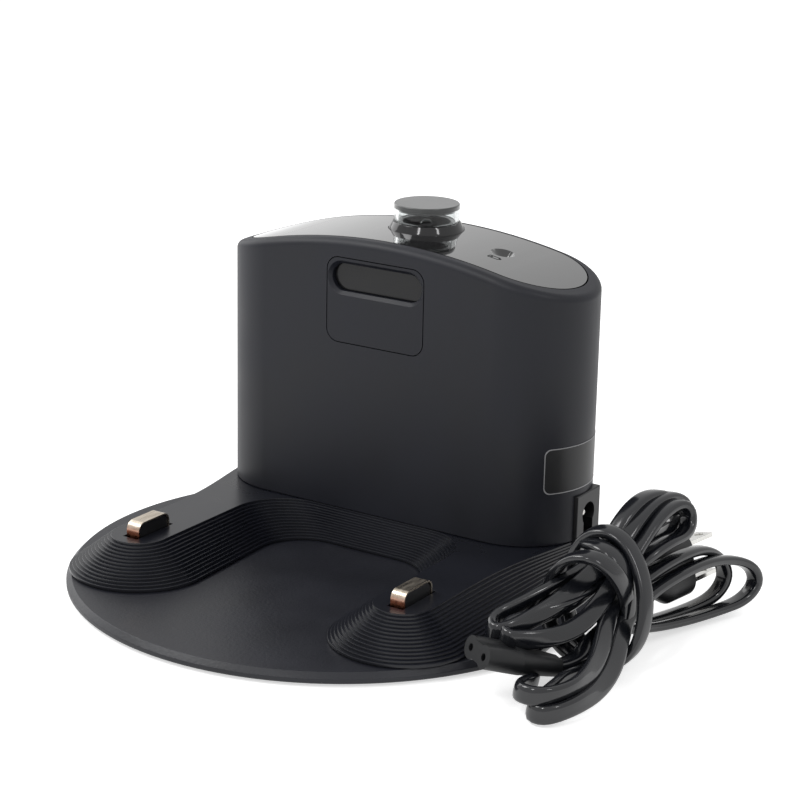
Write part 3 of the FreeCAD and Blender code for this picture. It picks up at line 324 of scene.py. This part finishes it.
def moulded(
    name, colour, roughness, shine=0.5, grain=1800.0, depth=0.02 * MM, strength=0.35, coat=0.0
):
    """Moulded plastic: fine grain, uneven sheen and a faint change of tone."""
    material, tree, shader = new_finish(name, colour, roughness, shine=shine)
    shader.inputs["Coat Weight"].default_value = coat
    shader.inputs["Coat Roughness"].default_value = SOFT_COAT
    broad = object_noise(tree, TONE_PATCHES, 3.0)
    fine = object_noise(tree, grain, 2.0)
    paler = tuple(1.25 * part for part in colour)
    darker = tuple(0.85 * part for part in colour)
    share = spread(tree, broad, 0.0, 1.0)
    tone = mix_colours(tree, share, darker, paler)
    sheen = spread(tree, broad, roughness - 0.03, roughness + 0.04)
    tree.links.new(tone, shader.inputs["Base Color"])
    tree.links.new(sheen, shader.inputs["Roughness"])
    add_bump(tree, shader, fine, depth, strength)
    return material


def polished(name, colour, roughness, shine=0.5, coat=0.0):
    """Polished plastic with a slight waviness from the mould."""
    material, tree, shader = new_finish(name, colour, roughness, shine=shine)
    shader.inputs["Coat Weight"].default_value = coat
    shader.inputs["Coat Roughness"].default_value = HARD_COAT
    smear = object_noise(tree, SMEAR_PATCHES, 4.0)
    sheen = spread(tree, smear, roughness * 0.7, roughness * 1.5)
    tree.links.new(sheen, shader.inputs["Roughness"])
    wave = object_noise(tree, WAVE_PATCHES, 1.0)
    add_bump(tree, shader, wave, 0.02 * MM, FAINT_RELIEF)
    return material


def metal(name, colour, roughness, stretch=(1, 1, 1), grain=900.0):
    """Plated or bare metal with fine drawn lines."""
    material, tree, shader = new_finish(name, colour, roughness, metallic=1.0)
    lines = object_noise(tree, grain, 3.0, stretch)
    sheen = spread(tree, lines, roughness * 0.75, roughness * 1.35)
    tree.links.new(sheen, shader.inputs["Roughness"])
    darker = tuple(0.82 * part for part in colour)
    tone = mix_colours(tree, spread(tree, lines, 0, 1), darker, colour)
    tree.links.new(tone, shader.inputs["Base Color"])
    add_bump(tree, shader, lines, 0.01 * MM, FAINT_RELIEF)
    return material


def contact_plating():
    """Champagne plating that is worn to copper low on the contact's front end."""
    material, tree, shader = new_finish("contact_plating", PLATING_PLAIN, 0.3, metallic=1.0)
    low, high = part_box("right_contact_strip")
    place = tree.nodes.new("ShaderNodeTexCoord")
    parts = tree.nodes.new("ShaderNodeSeparateXYZ")
    tree.links.new(place.outputs["Object"], parts.inputs["Vector"])
    near, far = WORN_FROM_FRONT
    front = spread(tree, parts.outputs["Y"], 1.0, 0.0, low.y + near, low.y + far)
    deep, shallow = WORN_FROM_TOP
    down = spread(tree, parts.outputs["Z"], 1.0, 0.0, high.z - deep, high.z - shallow)
    worn = tree.nodes.new("ShaderNodeMath")
    worn.operation = "MULTIPLY"
    tree.links.new(front, worn.inputs[0])
    tree.links.new(down, worn.inputs[1])
    scratches = object_noise(tree, SCRATCH_PATCHES, 3.0, (1, 0.15, 1))
    plating = mix_colours(tree, spread(tree, scratches, 0, 1), PLATING_DARK, PLATING_PALE)
    tone = mix_colours(tree, worn.outputs["Value"], plating, WORN_COPPER)
    tree.links.new(tone, shader.inputs["Base Color"])
    tree.links.new(spread(tree, scratches, 0.22, 0.4), shader.inputs["Roughness"])
    add_bump(tree, shader, scratches, 0.01 * MM, FAINT_RELIEF)
    return material


def clear_plastic(name, colour, roughness, bending=1.49):
    """Clear moulded plastic with faint flow marks."""
    material, tree, shader = new_finish(name, colour, roughness)
    shader.inputs["Transmission Weight"].default_value = 1.0
    shader.inputs["IOR"].default_value = bending
    flow = object_noise(tree, FLOW_PATCHES, 2.0, (1, 1, 0.3))
    sheen = spread(tree, flow, roughness * 0.6, roughness * 1.6)
    tree.links.new(sheen, shader.inputs["Roughness"])
    add_bump(tree, shader, flow, 0.03 * MM, FAINT_RELIEF)
    return material


def laminate(name, colour):
    """Board laminate with the weave of its glass cloth."""
    material, tree, shader = new_finish(name, colour, 0.35)
    weave = object_noise(tree, WEAVE_PATCHES, 1.0, (1, 1, 0.4))
    paler = tuple(1.4 * part for part in colour)
    tone = mix_colours(tree, spread(tree, weave, 0, 1), colour, paler)
    tree.links.new(tone, shader.inputs["Base Color"])
    add_bump(tree, shader, weave, 0.02 * MM, FAINT_RELIEF)
    return material


def make_finishes():
    """All finishes, under the plain names that the lists of nodes use."""
    return {
        "body": moulded("charcoal_shell", (0.008, 0.0088, 0.0138), 0.48, shine=0.38),
        "foot": moulded("plate_grain", (0.0085, 0.0092, 0.0138), 0.4, 0.46, 1000.0, 0.07 * MM, 1.0),
        "ridges": moulded("ridged_cover", (0.0075, 0.0083, 0.0125), 0.28, 0.43, 2600.0, 0.01 * MM, 0.15),
        "gloss": polished("piano_black", (0.005, 0.005, 0.0058), 0.06, shine=0.65, coat=1.0),
        "collar": polished("collar_black", (0.006, 0.006, 0.007), 0.08, shine=0.6),
        "window": polished("window_smoke", (0.007, 0.007, 0.008), 0.2, shine=0.34),
        "panel": moulded("panel_black", (0.008, 0.0088, 0.0138), 0.44, shine=0.35),
        "cap": moulded("cap_grey", (0.03, 0.033, 0.033), 0.36, shine=0.4, grain=2400.0, coat=0.9),
        "lens": clear_plastic("lens_clear", (0.8, 0.82, 0.82), 0.03, 1.34),
        "reflector": polished("reflector_black", (0.01, 0.01, 0.011), 0.12, shine=0.6),
        "lamp": clear_plastic("lamp_resin", (0.85, 0.87, 0.9), 0.08),
        "inlet": moulded("inlet_black", (0.012, 0.012, 0.013), 0.4, shine=0.4),
        "carrier": moulded("carrier_black", (0.011, 0.011, 0.012), 0.42),
        "contact": contact_plating(),
        "nickel": metal("nickel_plate", (0.78, 0.77, 0.74), 0.2, (0.2, 1, 1)),
        "steel": metal("drawn_steel", (0.52, 0.52, 0.53), 0.32),
        "brass": metal("terminal_brass", (0.72, 0.56, 0.3), 0.3, (1, 0.2, 1)),
        "board": laminate("board_green", (0.02, 0.11, 0.045)),
        "tape": moulded("transformer_tape", (0.5, 0.36, 0.05), 0.45, grain=500.0),
        "sleeve": polished("capacitor_sleeve", (0.012, 0.016, 0.05), 0.25),
        "package": moulded("package_black", (0.015, 0.015, 0.015), 0.55),
        "ceramic": moulded("fuse_ceramic", (0.6, 0.54, 0.44), 0.4, grain=900.0),
        "wire": moulded("wire_insulation", (0.18, 0.02, 0.02), 0.4, grain=900.0),
        "rubber": moulded("foot_rubber", (0.018, 0.018, 0.018), 0.7, grain=900.0),
        "sheath": moulded("lead_sheath", (0.007, 0.0078, 0.0105), 0.15, 0.72, 300.0, 0.012 * MM),
        "moulding": moulded("lead_moulding", (0.0095, 0.01, 0.0112), 0.42, shine=0.42),
        "print": moulded("pale_print", (0.36, 0.36, 0.37), 0.5, grain=3000.0, depth=0.005 * MM),
        "ink": moulded("symbol_ink", (0.045, 0.045, 0.047), 0.6, 0.0, 3000.0, 0.005 * MM),
        "film": moulded("label_film", (0.0145, 0.0147, 0.0157), 0.4, 0.42, 2600.0, 0.008 * MM),
    }


# Helpers for pieces

def add_piece(name, mesh, material, body):
    """Links a finished mesh as a piece on a body, with its finish."""
    mesh.materials.clear()
    mesh.materials.append(material)
    piece = bpy.data.objects.new(name, mesh)
    bpy.context.scene.collection.objects.link(piece)
    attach(piece, body)
    return piece


def finished_mesh(piece):
    """Plain mesh of an object with its modifiers worked in."""
    graph = bpy.context.evaluated_depsgraph_get()
    return bpy.data.meshes.new_from_object(piece.evaluated_get(graph))


def smooth(mesh, angle=SMOOTH_ANGLE):
    """Smooth shading, with a crease where faces meet at more than the angle."""
    mesh.polygons.foreach_set("use_smooth", [True] * len(mesh.polygons))
    mesh.set_sharp_from_angle(angle=angle)


def weigh_crests(shape):
    """Marks the ridges' crests to be rounded in full, and other sharp edges to be eased a little."""
    shape.normal_update()
    weight = shape.edges.layers.float.new("bevel_weight_edge")
    for edge in shape.edges:
        if len(edge.link_faces) != 2 or edge.calc_face_angle() < EASED_ANGLE:
            continue
        steeper, flatter = sorted(face.normal.z for face in edge.link_faces)
        crest = edge.is_convex and abs(steeper) < UPRIGHT_BELOW and flatter > LEVEL_ABOVE
        edge[weight] = 1.0 if crest else SLIGHT_EASE


def eased(node, ease, material):
    """Copy of a CAD node with eased edges and smooth faces, which stands for it."""
    ridged = node == "ramp_cover"
    source = frame["nodes"][node]
    mesh = source.data.copy()
    shape = bmesh.new()
    shape.from_mesh(mesh)
    bmesh.ops.remove_doubles(shape, verts=shape.verts, dist=MERGE_DISTANCE)
    bmesh.ops.dissolve_limit(shape, angle_limit=FLAT_ANGLE, verts=shape.verts, edges=shape.edges)
    if ridged:
        weigh_crests(shape)
    shape.to_mesh(mesh)
    shape.free()
    blank = bpy.data.objects.new("blank", mesh)
    bpy.context.scene.collection.objects.link(blank)
    if ease:
        bevel = blank.modifiers.new("ease", "BEVEL")
        bevel.width = ease
        bevel.segments = EASE_SEGMENTS
        bevel.limit_method = "WEIGHT" if ridged else "ANGLE"
        bevel.angle_limit = EASED_ANGLE
        bevel.use_clamp_overlap = not ridged
    blank.data = finished_mesh(blank)
    blank.modifiers.clear()
    smooth(blank.data)
    even = blank.modifiers.new("even", "WEIGHTED_NORMAL")
    even.keep_sharp = True
    result = finished_mesh(blank)
    bpy.data.objects.remove(blank)
    piece = add_piece(node + "_dressed", result, material, source["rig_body"])
    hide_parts(node)
    return piece


def paint(node, material):
    """Gives a CAD node that keeps its own shape its finish."""
    mesh = frame["nodes"][node].data
    mesh.materials.clear()
    mesh.materials.append(material)


# Mains lead

def lead_points():
    """Points of the route, and the lead's wide side at each, with no sudden half turn."""
    points = []
    sides = []
    for direction, run in LEAD_ROUTE:
        side = Vector(direction).normalized()
        if sides and side.dot(sides[-1]) < 0:
            side = -side
        for point in run:
            points.append(Vector(point) * MM)
            sides.append(side)
    return points, sides


def lead_path(points):
    """Places along the lead, evenly spaced, read from its smooth line, and its length."""
    curve = bpy.data.curves.new("lead_line", "CURVE")
    curve.dimensions = "3D"
    curve.resolution_u = LINE_RESOLUTION
    line = curve.splines.new("NURBS")
    line.points.add(len(points) - 1)
    for knot, point in zip(line.points, points):
        knot.co = (*point, 1)
    line.order_u = 3
    line.use_endpoint_u = True
    holder = bpy.data.objects.new("lead_line", curve)
    bpy.context.scene.collection.objects.link(holder)
    mesh = finished_mesh(holder)
    places = np.array([vertex.co for vertex in mesh.vertices])
    bpy.data.objects.remove(holder)
    bpy.data.meshes.remove(mesh)
    gaps = np.linalg.norm(np.diff(places, axis=0), axis=1)
    run = np.concatenate([[0], np.cumsum(gaps)])
    even = np.linspace(0, run[-1], int(run[-1] / CORD_STEP))
    columns = [np.interp(even, run, places[:, axis]) for axis in range(3)]
    return np.stack(columns, axis=1), run[-1]


def wide_sides(path, points, sides):
    """Direction ahead and wide side all along the lead, turning slowly between the route's points."""
    ahead = np.gradient(path, axis=0)
    ahead /= np.linalg.norm(ahead, axis=1)[:, None]
    nearest = []
    start = 0
    for point in points:
        window = path[start:start + SEARCH_STEPS]
        start += int(np.argmin(np.linalg.norm(window - np.array(point), axis=1)))
        nearest.append(start)
    steps = np.arange(len(path))
    chosen = np.array(sides)
    reach = int(3 * TWIST_REACH / CORD_STEP)
    weight = np.exp(-0.5 * (np.arange(-reach, reach + 1) * CORD_STEP / TWIST_REACH) ** 2)
    columns = []
    for axis in range(3):
        along = np.pad(np.interp(steps, nearest, chosen[:, axis]), reach, "edge")
        columns.append(np.convolve(along, weight, "valid"))
    wide = np.stack(columns, axis=1)
    wide -= ahead * np.sum(wide * ahead, axis=1)[:, None]
    return ahead, wide / np.linalg.norm(wide, axis=1)[:, None]


def power_lead(material):
    """Flat lead swept along its route, which stands for the CAD's hank."""
    points, sides = lead_points()
    path, length = lead_path(points)
    ahead, wide = wide_sides(path, points, sides)
    flat = np.cross(ahead, wide)
    wide_power, flat_power = CORD_SQUARENESS
    edges = []
    for corner in range(CORD_CORNERS):
        angle = 2 * math.pi * (corner + 0.5) / CORD_CORNERS
        across = math.copysign(abs(math.cos(angle)) ** wide_power, math.cos(angle))
        through = math.copysign(abs(math.sin(angle)) ** flat_power, math.sin(angle))
        edges.append(path + wide * (CORD_WIDTH / 2 * across) + flat * (CORD_THICKNESS / 2 * through))
    corners = np.stack(edges, axis=1)
    count = len(path)
    faces = []
    for step in range(count - 1):
        for corner in range(CORD_CORNERS):
            following = (corner + 1) % CORD_CORNERS
            near = step * CORD_CORNERS
            far = near + CORD_CORNERS
            faces.append((near + corner, near + following, far + following, far + corner))
    faces.append(tuple(reversed(range(CORD_CORNERS))))
    faces.append(tuple((count - 1) * CORD_CORNERS + corner for corner in range(CORD_CORNERS)))
    mesh = bpy.data.meshes.new("power_lead")
    mesh.from_pydata(corners.reshape(-1, 3).tolist(), [], faces)
    shape = bmesh.new()
    shape.from_mesh(mesh)
    bmesh.ops.recalc_face_normals(shape, faces=shape.faces)
    shape.to_mesh(mesh)
    shape.free()
    smooth(mesh, CORD_SMOOTH_ANGLE)
    lead = add_piece("power_lead", mesh, material, "dock")
    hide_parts("power_cord")
    return lead, path, length


# Prints

def rounded_outline(width, height, corner, steps=6):
    """Corner points of a rounded rectangle centred on the origin."""
    points = []
    for turn, (side, rise) in enumerate(((1, 1), (-1, 1), (-1, -1), (1, -1))):
        for step in range(steps + 1):
            angle = math.pi / 2 * (turn + step / steps)
            across = side * (width / 2 - corner) + corner * math.cos(angle)
            up = rise * (height / 2 - corner) + corner * math.sin(angle)
            points.append((across, up))
    return points


def divided(points, step):
    """The same closed outline with its long runs divided."""
    result = []
    for start, end in zip(points, points[1:] + points[:1]):
        count = max(1, int(math.dist(start, end) / step))
        for part in range(count):
            share = part / count
            across = start[0] + (end[0] - start[0]) * share
            up = start[1] + (end[1] - start[1]) * share
            result.append((across, up))
    return result


def raised(name, points, faces, place, thickness):
    """Thin closed print: place maps a flat point and a lift to a point of the surface."""
    count = len(points)
    lower = [place(across, up, 0.0) for across, up in points]
    upper = [place(across, up, thickness) for across, up in points]
    shape = bmesh.new()
    corners = [shape.verts.new(point) for point in lower + upper]
    for face in faces:
        shape.faces.new([corners[index + count] for index in face])
        shape.faces.new([corners[index] for index in reversed(face)])
    # A wall goes up along each side that only one face has
    sides = {}
    for face in faces:
        for start, end in zip(face, face[1:] + face[:1]):
            sides[(start, end)] = True
    for start, end in sides:
        if (end, start) not in sides:
            wall = (start, end, end + count, start + count)
            shape.faces.new([corners[index] for index in wall])
    bmesh.ops.recalc_face_normals(shape, faces=shape.faces)
    mesh = bpy.data.meshes.new(name)
    shape.to_mesh(mesh)
    shape.free()
    smooth(mesh)
    return mesh


def ring_faces(count):
    """Faces between an outer loop of points and an inner loop that follows it in the list."""
    faces = []
    for index in range(count):
        following = (index + 1) % count
        faces.append((index, following, following + count, index + count))
    return faces


def on_tower_end(across, up, lift):
    """Point on the tower's round right end: across is measured along the arc from its middle."""
    angle = across / TOWER_END_RADIUS
    radius = TOWER_END_RADIUS + LABEL_FILM / 3 + lift
    x = TOWER_END_X + radius * math.cos(angle)
    y = TOWER_Y + radius * math.sin(angle)
    return Vector((x, y, up))


def on_arch(across, along, lift):
    """Point on the arched top cover, around the printed symbol."""
    x = SYMBOL_PLACE[0] + across
    z = CREST_HEIGHT - ARCH_RADIUS + math.sqrt(ARCH_RADIUS ** 2 - x ** 2)
    return Vector((x, SYMBOL_PLACE[1] + along, z + lift + PRINT_THICKNESS / 4))


def label_place(finishes):
    """Bare label film on the right end with its thin printed border."""
    width = 2 * LABEL_HALF_TURN * TOWER_END_RADIUS
    height = LABEL_HIGH - LABEL_LOW
    middle = (LABEL_HIGH + LABEL_LOW) / 2

    def place(across, up, lift):
        return on_tower_end(across, up + middle, lift)

    points = []
    for column in range(LABEL_COLUMNS + 1):
        across = width * (column / LABEL_COLUMNS - 0.5)
        inset = max(0.0, abs(across) - (width / 2 - LABEL_CORNER))
        reach = height / 2 - LABEL_CORNER + math.sqrt(max(0.0, LABEL_CORNER ** 2 - inset ** 2))
        points.append((across, -reach))
        points.append((across, reach))
    starts = [2 * column for column in range(LABEL_COLUMNS)]
    faces = [(start, start + 2, start + 3, start + 1) for start in starts]
    film = raised("label_film", points, faces, place, LABEL_FILM)
    add_piece("label_film", film, finishes["film"], "dock")
    outer = divided(rounded_outline(width, height, LABEL_CORNER), LABEL_STEP)
    shrink_x = 1 - 2 * LABEL_LINE / width
    shrink_z = 1 - 2 * LABEL_LINE / height
    inner = [(across * shrink_x, up * shrink_z) for across, up in outer]
    border = raised("label_border", outer + inner, ring_faces(len(outer)), place, 1.5 * LABEL_FILM)
    add_piece("label_border", border, finishes["print"], "dock")


def lamp_symbol(finishes):
    """Plain battery symbol printed beside the indicator lamp."""
    outer_corner, inner_corner = SYMBOL_CORNERS
    inner_length = SYMBOL_LENGTH - 2 * SYMBOL_LINE
    inner_width = SYMBOL_WIDTH - 2 * SYMBOL_LINE
    outer = rounded_outline(SYMBOL_LENGTH, SYMBOL_WIDTH, outer_corner)
    inner = rounded_outline(inner_length, inner_width, inner_corner)
    loops = outer + inner
    case = raised("symbol_frame", loops, ring_faces(len(outer)), on_arch, PRINT_THICKNESS)
    add_piece("symbol_frame", case, finishes["ink"], "dock")
    for number, (across, width, height) in enumerate(SYMBOL_BARS):
        outline = rounded_outline(width, height, SYMBOL_BAR_CORNER, steps=3)
        points = [(across + x, y) for x, y in outline]
        faces = [tuple(range(len(points)))]
        bar = raised("symbol_bar", points, faces, on_arch, PRINT_THICKNESS)
        add_piece("symbol_bar_" + str(number + 1), bar, finishes["ink"], "dock")


# Stage

def look(place, target):
    """Turn that points a lamp at place towards target."""
    return (Vector(target) - Vector(place)).to_track_quat("-Z", "Y").to_matrix().to_4x4()


def soft_box(name, place, target, width, height, power, mirrored):
    """Soft lamp; a gloss surface shows its shape only where it is mirrored."""
    lamp = bpy.data.lights.new(name, "AREA")
    lamp.shape = "RECTANGLE"
    lamp.size = width
    lamp.size_y = height
    lamp.energy = power
    holder = bpy.data.objects.new(name, lamp)
    holder.matrix_world = Matrix.Translation(place) @ look(place, target)
    holder.visible_glossy = mirrored
    bpy.context.scene.collection.objects.link(holder)


def ray_level(tree, plain, seen, mirrored):
    """Level that a surface gives off as light, as seen, and as mirrored or seen through the lens."""
    path = tree.nodes.new("ShaderNodeLightPath")
    kinds = (
        ("Is Camera Ray", seen),
        ("Is Transmission Ray", mirrored),
        ("Is Glossy Ray", mirrored),
    )
    level = None
    for kind, high in kinds:
        share = spread(tree, path.outputs[kind], plain, high, 0.0, 1.0)
        if level is None:
            level = share
            continue
        most = tree.nodes.new("ShaderNodeMath")
        most.operation = "MAXIMUM"
        tree.links.new(level, most.inputs[0])
        tree.links.new(share, most.inputs[1])
        level = most.outputs["Value"]
    return level


def white_world():
    """White background, with a calmer level where it lights the object."""
    world = bpy.data.worlds.new("white_room")
    bpy.context.scene.world = world
    world.use_nodes = True
    tree = world.node_tree
    back = tree.nodes["Background"]
    back.inputs["Color"].default_value = (1, 1, 1, 1)
    tree.links.new(ray_level(tree, *ROOM_LEVELS), back.inputs["Strength"])


def white_floor():
    """Pale floor that shows white where no shadow falls."""
    mesh = bpy.data.meshes.new("floor")
    turns = ((-1, -1), (1, -1), (1, 1), (-1, 1))
    corners = [(FLOOR_REACH * x, FLOOR_REACH * y, 0) for x, y in turns]
    mesh.from_pydata(corners, [], [(0, 1, 2, 3)])
    material, tree, shader = new_finish("pale_floor", FLOOR_COLOUR, 0.9, shine=0.0)
    output = tree.nodes["Material Output"]
    glow = tree.nodes.new("ShaderNodeEmission")
    tree.links.new(ray_level(tree, *FLOOR_GLOW_LEVELS), glow.inputs["Strength"])
    both = tree.nodes.new("ShaderNodeAddShader")
    tree.links.new(shader.outputs["BSDF"], both.inputs[0])
    tree.links.new(glow.outputs["Emission"], both.inputs[1])
    tree.links.new(both.outputs["Shader"], output.inputs["Surface"])
    mesh.materials.append(material)
    floor = bpy.data.objects.new("floor", mesh)
    bpy.context.scene.collection.objects.link(floor)


def studio():
    """White room, pale floor and lamps."""
    white_world()
    white_floor()
    for lamp in LAMPS:
        soft_box(*lamp)


def add_camera():
    """Camera at the photograph's place, turned, tilted and rolled as it was."""
    forward = Vector((
        -math.sin(CAMERA_TURN) * math.cos(CAMERA_PITCH),
        math.cos(CAMERA_TURN) * math.cos(CAMERA_PITCH),
        -math.sin(CAMERA_PITCH),
    ))
    level = Vector((math.cos(CAMERA_TURN), math.sin(CAMERA_TURN), 0))
    above = level.cross(forward)
    right = level * math.cos(CAMERA_ROLL) + above * math.sin(CAMERA_ROLL)
    up = above * math.cos(CAMERA_ROLL) - level * math.sin(CAMERA_ROLL)
    data = bpy.data.cameras.new("camera")
    data.lens = FOCAL_LENGTH
    data.sensor_width = SENSOR_WIDTH
    camera = bpy.data.objects.new("camera", data)
    turn = Matrix((right, up, -forward)).transposed().to_4x4()
    camera.matrix_world = Matrix.Translation(CAMERA_PLACE) @ turn
    bpy.context.scene.collection.objects.link(camera)
    bpy.context.scene.camera = camera


# Dressing of the CAD nodes

# Nodes that a dressed copy stands for: node, finish, width of the eased edges
EASED_NODES = (
    ("base_plate", "foot", 0.15 * MM),
    ("ramp_cover", "ridges", 0.2 * MM),
    ("tower_shell", "body", 0.12 * MM),
    ("top_cover", "gloss", 0.1 * MM),
    ("window_bezel", "panel", 0.12 * MM),
    ("ir_window", "window", 0.1 * MM),
    ("beacon_collar", "collar", 0.2 * MM),
    ("beacon_lens", "lens", 0.1 * MM),
    ("beacon_cap", "cap", 0.0),
    ("beacon_reflector", "reflector", 0.1 * MM),
    ("beacon_emitter", "lamp", 0.0),
    ("indicator_led", "lamp", 0.0),
    ("inlet_housing", "inlet", 0.12 * MM),
    ("inlet_pins", "nickel", 0.0),
    ("left_contact_strip", "contact", 0.08 * MM),
    ("right_contact_strip", "contact", 0.08 * MM),
    ("left_contact_carrier", "carrier", 0.12 * MM),
    ("right_contact_carrier", "carrier", 0.12 * MM),
    ("left_contact_spring", "steel", 0.0),
    ("right_contact_spring", "steel", 0.0),
    ("cord_connector", "moulding", 0.35 * MM),
    ("cord_plug", "moulding", 0.5 * MM),
    ("plug_blades", "nickel", 0.12 * MM),
    ("rubber_feet", "rubber", 0.3 * MM),
)
# Nodes that keep their own shape: node, finish
PAINTED_NODES = (
    ("ir_emitters", "lamp"),
    ("beacon_board", "board"),
    ("inlet_leads", "wire"),
    ("main_board", "board"),
    ("transformer", "tape"),
    ("capacitors", "sleeve"),
    ("bridge_rectifier", "package"),
    ("mains_fuse", "ceramic"),
    ("base_screws", "steel"),
    ("board_screws", "steel"),
    ("left_terminal_plate", "brass"),
    ("right_terminal_plate", "brass"),
    ("left_contact_lead", "wire"),
    ("right_contact_lead", "wire"),
    ("power_cord", "sheath"),
)


def shorten_spring(spring):
    """Gives a contact's spring a mesh of its own."""
    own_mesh(spring)


def dress():
    """Dresses every CAD node and adds the prints and the lead."""
    finishes = make_finishes()
    pieces = {node: eased(node, ease, finishes[finish]) for node, finish, ease in EASED_NODES}
    for node, finish in PAINTED_NODES:
        paint(node, finishes[finish])
    for side in ("left", "right"):
        node = side + "_contact_spring"
        shorten_spring(pieces[node])
    label_place(finishes)
    lamp_symbol(finishes)
    lead, path, length = power_lead(finishes["sheath"])
    tuple(path[0])


dress()
studio()
add_camera()
bpy.context.scene.view_settings.view_transform = "Standard"
